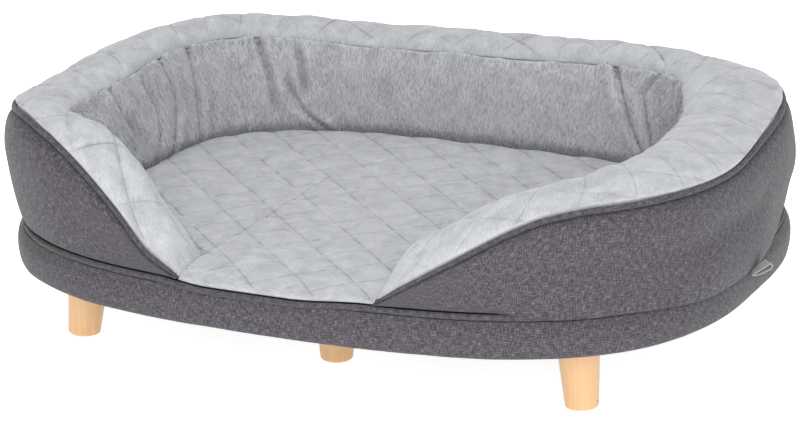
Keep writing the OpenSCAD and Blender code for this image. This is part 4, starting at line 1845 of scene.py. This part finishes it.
    def outer_cover(self) -> Object:
        """Makes the linen wall, tucked under at its foot.

        Returns:
            The new piece.
        """
        run = self.runs()
        roll = self.roll(run)
        flatter = np.minimum(1, roll.seam / 30)
        front = through_knots(self.cover_knots(roll, flatter), self.cover_points)
        ahead = np.gradient(front, axis=1)
        ahead /= np.maximum(np.linalg.norm(ahead, axis=2, keepdims=True), 1e-9)
        inward = np.stack([ahead[:, :, 1], -ahead[:, :, 0]], axis=2)
        back = (front + self.linen_thickness * inward)[:, ::-1][:, 1:-1]
        rings, skin, normals = self.skins(run, front, back)
        slack = ripple(skin, self.cover_slack)
        pull = ripple(skin, self.cover_pull)
        climb = np.linspace(0, 1, self.cover_points)
        near_seam = np.exp(-(((1 - climb) / 0.12) ** 2))[None, :]
        rising = np.clip((climb - 0.42) / 0.58, 0, 1)
        share = np.sin(math.pi * rising)[None, :] ** 0.6 * flatter[:, None]
        skin += (slack * share + pull * near_seam * share)[:, :, None] * normals
        return swept_piece("bolster_linen_wall", rings, self.finishes.linen)

    def piping(self) -> Object:
        """Makes the piping between linen and crown, which dives behind the base's at each end.

        Returns:
            The new piece.
        """
        run = self.runs()
        run = run[self.distance(run) > -4]
        roll = self.roll(run)
        _, outward = self.facing(run)
        height = self.foot_z + roll.seam + roll.seam_gap * np.minimum(1, roll.crown / 20)
        taper = mix(0.62, 1.0, smooth((roll.away + 4) / 30))
        return piping_piece(
            "bolster_piping", run, roll.piping_inset, height,
            self.welt_diameter / 2, self.outline, self.finishes.linen, closed=False,
            outward=outward, taper=taper,
        )

    def base_cloth(self) -> Object:
        """Makes the cloth under the bolster.

        Returns:
            The new piece.
        """
        run = self.runs()
        near, far = self.tray_inset, self.crease_inset
        low, high = self.floor_z - 1.0, self.floor_z - 0.05
        rows = np.array([[[near, low], [near, high], [far, high], [far, low]]])
        rings = self.outline.stand_turned(*self.facing(run), np.repeat(rows, len(run), axis=0))
        return swept_piece("bolster_base_lining", rings, self.finishes.lining)


@dataclass
class SeatPad:
    """The quilted pad, with its tongue that runs out between the arms."""

    outline: Outline
    finishes: Finishes
    inset: float = 96.2
    tray_inset: float = 9.4
    tongue_half: float = 130.3
    lip: float = 2.4
    overlap: float = 4.6
    droop: float = 4.6
    low_z: float = 138.3
    edge_z: float = 140.8
    crown: float = 8.5
    roll: float = 30.0
    quilt_step: float = 39.6
    quilt_depth: float = 4.4
    backing_z: tuple[float, float] = (131.8, 132.75)
    step: float = 2.8
    rows: int = 190
    ripples: Layers = ((0.7, 30, 53, 1.0), (0.35, 9, 54, 1.0))
    uneven: Layers = ((0.4, 130, 52, 1.0),)
    warps: Layers = ((2.5, 160, 51, 1.0),)

    @property
    def end(self) -> float:
        """Where the pad ends along the length."""
        return self.outline.length / 2 - self.inset

    def to_edge(
        self, x: np.ndarray, y: np.ndarray, front: np.ndarray, back: np.ndarray
    ) -> np.ndarray:
        """Distance from the pad's nearest edge, with its limits at each x."""
        return np.minimum(np.minimum(y - front, back - y), self.end - np.abs(x))

    def warp(self, spots: np.ndarray) -> np.ndarray:
        """How far the quilting's lines stray."""
        return ripple(spots, self.warps)

    def edges(self, inset: float) -> tuple[np.ndarray, np.ndarray]:
        """Tabulates a quarter of an inset outline.

        Args:
            inset: How far inside the outline.

        Returns:
            Tables of x, from 0 up, and of y.
        """
        run = np.linspace(self.outline.total / 4, self.outline.total / 2, 400)
        place, normal = self.outline.look_up(run)
        line = (place - inset * normal)[::-1]
        return line[:, 0], line[:, 1]

    def quilt_lines(self, x: np.ndarray, y: np.ndarray) -> tuple[list[np.ndarray], np.ndarray]:
        """Position among both families of diagonal lines.

        Args:
            x: Places along the length.
            y: Places along the depth.

        Returns:
            One array for each family, in line spacings, and the places with a height of 0.
        """
        spots = np.stack([x, y, np.zeros(x.shape)], axis=-1)
        warp = self.warp(spots)
        return [(x + sign * y + warp) / (2 * self.quilt_step) for sign in (1, -1)], spots

    def height(self, x: np.ndarray, y: np.ndarray, to_edge: np.ndarray) -> np.ndarray:
        """Height of the pad's top.

        Args:
            x: Places along the length.
            y: Places along the depth.
            to_edge: Distance from the pad's nearest edge.

        Returns:
            Heights.
        """
        families, spots = self.quilt_lines(x, y)
        ridges = [np.abs(np.sin(math.pi * family)) for family in families]
        puff = (ridges[0] * ridges[1]) ** 0.45
        stitched = np.exp(-((np.minimum(ridges[0], ridges[1]) / 0.06) ** 2))
        uneven = 0.8 + ripple(spots, self.uneven)
        quilt = self.quilt_depth * (puff - 1) - 0.9 * stitched
        rise = self.crown + quilt * uneven + ripple(spots, self.ripples)
        rolled = np.sqrt(np.clip(1 - (1 - np.clip(to_edge / self.roll, 0, 1)) ** 2, 0, 1))
        return self.edge_z + rise * rolled - self.droop * pressed(x, y)

    def build(self) -> None:
        """Builds and hands over the pad, its thread and its backing."""
        pad = self.pad()
        hand_over(pad, Body.BED, ["seat_pad_cover", "seat_pad_filling"])
        hand_over(self.backing(), Body.BED, ["seat_pad_backing"])
        sewn = quilting_thread(
            "stitches along the pad's quilting", "pad_quilting_thread", self.thread_paths(),
            self.finishes.thread,
        )
        hand_over(sewn, Body.BED)

    def limits(self, x: np.ndarray, over: bool = True) -> tuple[np.ndarray, np.ndarray]:
        """Front and back limits of the pad at each x.

        Args:
            x: Places along the length.
            over: Whether the tongue's end lies over the base's piping, as the plush does.

        Returns:
            The front limits and the back limits.
        """
        pad_x, pad_y = self.edges(self.inset)
        tongue_x, tongue_y = self.edges(self.tray_inset)
        back = np.interp(np.abs(x), pad_x, pad_y)
        out = smooth((self.tongue_half + 1.0 - np.abs(x)) / 2.0)
        front = -mix(back, np.interp(np.abs(x), tongue_x, tongue_y), out)
        if over:
            front = front - out * (self.lip + self.overlap * pressed(x, front))
        return front, back

    def columns(self) -> np.ndarray:
        """Spaces the pad's columns, close together at its ends and beside the tongue.

        Returns:
            One x for each column.
        """
        even = np.arange(0, self.end - 12, self.step)
        beside = self.tongue_half + np.array([-1.6, -0.8, 0, 0.8, 1.6])
        last = self.end - 12 * (1 - np.linspace(0, 1, 10)) ** 2
        half = np.unique(np.round(np.concatenate([even, beside, last - 0.02]), 3))
        half = half[np.concatenate([[True], np.diff(half) > 0.3])]
        return np.concatenate([-half[:0:-1], half])

    def pad(self) -> Object:
        """Makes the pad as sections along its length, with quilted tops.

        Returns:
            The new piece.
        """
        x = self.columns()
        front, back = self.limits(x)
        share = (1 - np.cos(np.linspace(0, math.pi, self.rows))) / 2
        share = mix(np.linspace(0, 1, self.rows), share, 0.35)
        y = mix(front[:, None], back[:, None], share[None, :])
        wide = np.repeat(x[:, None], y.shape[1], axis=1)
        to_edge = self.to_edge(wide, y, front[:, None], back[:, None])
        top = self.height(wide, y, to_edge)
        low = self.low_z - self.droop * pressed(wide, y)
        under = np.stack([wide, y, low], axis=2)[:, ::-6]
        rings = np.concatenate([np.stack([wide, y, top], axis=2), under], axis=1)
        count, size = rings.shape[:2]
        _, _, faces = ring_quads(count, size, False)
        faces += [list(range(size)), list(range(count * size))[: -size - 1 : -1]]
        points = rings.reshape(-1, 3)
        piece = mesh_piece("seat_pad_plush", points, faces, self.finishes.plush)
        lay_cloth(piece.data, points[corner_points(piece.data)][:, [1, 0]] * MM)
        families, _ = self.quilt_lines(wide, y)
        spots = np.zeros(rings.shape)
        shown = spots[:, :y.shape[1]]
        shown[:, :, 0], shown[:, :, 1] = families
        # How strongly the quilting lines' painted crease shade shows, fading at the pad's edges
        shown[:, :, 2] = 0.75 * smooth(to_edge / 14)
        mark_quilting(piece, spots)
        return piece

    def thread_paths(self) -> list[np.ndarray]:
        """Follows each diagonal line across the pad.

        Returns:
            Polylines in millimetres.
        """
        paths = []
        spacing = 2 * self.quilt_step
        for sign in (1, -1):
            for number in range(-10, 11):
                x = np.arange(-self.end + 8, self.end - 8, 3.0)
                y = sign * (number * spacing - x)
                for _ in range(2):
                    spots = np.stack([x, y, np.zeros(len(x))], axis=1)
                    y = sign * (number * spacing - x - self.warp(spots))
                front, back = self.limits(x)
                to_edge = self.to_edge(x, y, front, back)
                inside = to_edge > 6
                z = self.height(x, y, to_edge) - 0.1
                spots = np.stack([x, y, z], axis=1)
                edges = np.nonzero(np.diff(inside.astype(int)))[0] + 1
                for part, keep in zip(np.split(spots, edges), np.split(inside, edges)):
                    if keep[0] and len(part) > 3:
                        paths.append(part)
        return paths

    def backing(self) -> Object:
        """Makes the plain cloth under the pad.

        Returns:
            The new piece.
        """
        x = self.columns()[::3]
        front, back = self.limits(x, over=False)
        low, high = self.backing_z
        corners = sections([(front, low), (front, high), (back, high), (back, low)])
        wide = np.repeat(x[:, None, None], corners.shape[1], axis=1)
        rings = np.concatenate([wide, corners], axis=2)
        piece = swept_piece("seat_pad_lining", rings, self.finishes.lining)
        return piece


@dataclass
class RibbonTab:
    """The blank folded ribbon at the right side, which loops out of the bolster's foot seam."""

    outline: Outline
    finishes: Finishes
    run: float = 677.0
    length: float = 27.0
    reach: float = 25.0
    root_inset: float = -4.4
    z: float = 121.2
    yaw: float = 32.0
    rise: float = 0.34
    thickness: float = 0.5
    loop: float = 3.4

    def build(self) -> None:
        """Builds and hands over the ribbon, which is bent backward and up by the band."""
        place, outward = self.outline.look_up(np.array([self.run]))
        square = np.array([*outward[0], 0.0])
        beside = np.array([-outward[0, 1], outward[0, 0], 0.0])
        yaw = math.radians(self.yaw)
        out = math.cos(yaw) * square + math.sin(yaw) * beside
        side = math.cos(yaw) * beside - math.sin(yaw) * square
        root = np.array([*place[0], self.z]) - self.root_inset * square
        total, loop = self.reach, self.loop
        line = [(0.0, 0.0), (0.45 * total, 0.1), (0.8 * total, -0.4)]
        for angle in np.radians(np.linspace(-90, 90, 9)):
            far, up = total - loop + loop * math.cos(angle), loop * (1 + math.sin(angle)) - 0.6
            line.append((far, up))
        line += [(0.75 * total, 2 * loop - 0.6), (0.45 * total, 1.6 * loop), (0.0, 0.6)]
        path = through_knots(np.array([line]), 60)[0]
        ahead = np.gradient(path, axis=0)
        ahead /= np.linalg.norm(ahead, axis=1, keepdims=True)
        thick = np.stack([-ahead[:, 1], ahead[:, 0]], axis=1) * self.thickness / 2
        shape = np.concatenate([path + thick, (path - thick)[::-1]])
        rings = []
        for share in np.linspace(-0.5, 0.5, 13):
            # The loop gapes towards the front and lies flat at its rear edge
            lens = 1 - 0.75 * smooth(share + 0.5)
            bend = self.rise * shape[:, 0] * smooth(shape[:, 0] / total)
            lift = shape[:, 1] * (0.35 + 0.65 * lens) + bend
            push = shape[:, 0] * (1 - 0.12 * (1 - lens))
            rings.append(
                root + share * self.length * side + push[:, None] * out
                + np.stack([np.zeros(len(shape))] * 2 + [lift], axis=1)
            )
        piece = swept_piece("ribbon_loop", np.array(rings), self.finishes.ribbon)
        hand_over(piece, Body.BED, ["side_tab"])


# Camera, light and floor


@dataclass
class Studio:
    """The camera at the photograph's viewpoint, the pale floor and soft light."""

    eye: tuple[float, float, float] = (1.698, -3.6725, 1.4208)
    forward: tuple[float, float, float] = (-0.4008, 0.8643, -0.3038)
    right: tuple[float, float, float] = (0.9089, 0.4169, -0.0128)
    lens: float = 149.7
    sensor: float = 36.0
    sky: float = 0.72
    floor_glow: float = 0.85
    floor_half: float = 14.0
    aim: tuple[float, float, float] = (0.0, 0.0, 0.15)
    panels: tuple[tuple[str, tuple[float, float, float], float, float], ...] = (
        ("front_panel", (1.5, -3.0, 1.4), 1.4, 42.0),
        ("key_panel", (1.0, -1.9, 2.6), 1.6, 18.0),
        ("top_panel", (-0.2, -0.7, 2.9), 2.2, 16.0),
    )

    def build(self) -> None:
        """Sets up everything that isn't part of the object."""
        bpy.context.scene.view_settings.view_transform = "Standard"
        self.camera()
        self.floor()
        self.lights()

    def camera(self) -> None:
        """Stands the camera where the photograph was taken from."""
        data = bpy.data.cameras.new("camera")
        data.lens = self.lens
        data.sensor_width = self.sensor
        data.clip_end = 50
        back = -Vector(self.forward).normalized()
        right = Vector(self.right)
        right = (right - right.dot(back) * back).normalized()
        up = back.cross(right)
        turn = Matrix((right, up, back)).transposed().to_4x4()
        camera = into_scene(bpy.data.objects.new("camera", data))
        camera.matrix_world = Matrix.Translation(self.eye) @ turn
        bpy.context.scene.camera = camera

    def floor(self) -> None:
        """Lays a white studio floor that is lit through, so that shadows stay faint."""
        mesh = bpy.data.meshes.new("studio_floor")
        far = self.floor_half
        corners = [(-far, -far, 0), (far, -far, 0), (far, far, 0), (-far, far, 0)]
        mesh.from_pydata(corners, [], [(0, 1, 2, 3)])
        finish, tree = new_finish("white studio floor")
        shade(
            tree,
            {
                "Base Color": linear("#f4f4f4"), "Roughness": 1.0, "Specular IOR Level": 0.0,
                "Emission Color": (1.0, 1.0, 1.0, 1.0), "Emission Strength": self.floor_glow,
            },
        )
        mesh.materials.append(finish)
        into_scene(bpy.data.objects.new("studio_floor", mesh))

    def lights(self) -> None:
        """Soft light from all round, two large panels over the bed and one in front of it."""
        world = bpy.data.worlds.new("white studio")
        world.use_nodes = True
        tree = world.node_tree
        tree.nodes.clear()
        sky = add_node(
            tree, "ShaderNodeBackground", {"Color": (1.0, 1.0, 1.0, 1.0), "Strength": self.sky}
        )
        add_node(tree, "ShaderNodeOutputWorld", {"Surface": sky.outputs[0]})
        bpy.context.scene.world = world
        for name, spot, size, power in self.panels:
            light = bpy.data.lights.new(name, "AREA")
            light.size = size
            light.energy = power
            lamp = into_scene(bpy.data.objects.new(name, light))
            lamp.location = spot
            towards = Vector(self.aim) - Vector(spot)
            lamp.rotation_euler = towards.to_track_quat("-Z", "Y").to_euler()


def main() -> None:
    """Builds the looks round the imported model."""
    logging.basicConfig(level=logging.INFO, format="%(name)s: %(message)s")
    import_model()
    Studio().build()
    outline = Outline()
    finishes = Finishes()
    Platform(outline, finishes).build()
    Bolster(outline, finishes).build()
    SeatPad(outline, finishes).build()
    RibbonTab(outline, finishes).build()
    LOG.info("sizes written")


if __name__ == "__main__":
    main()
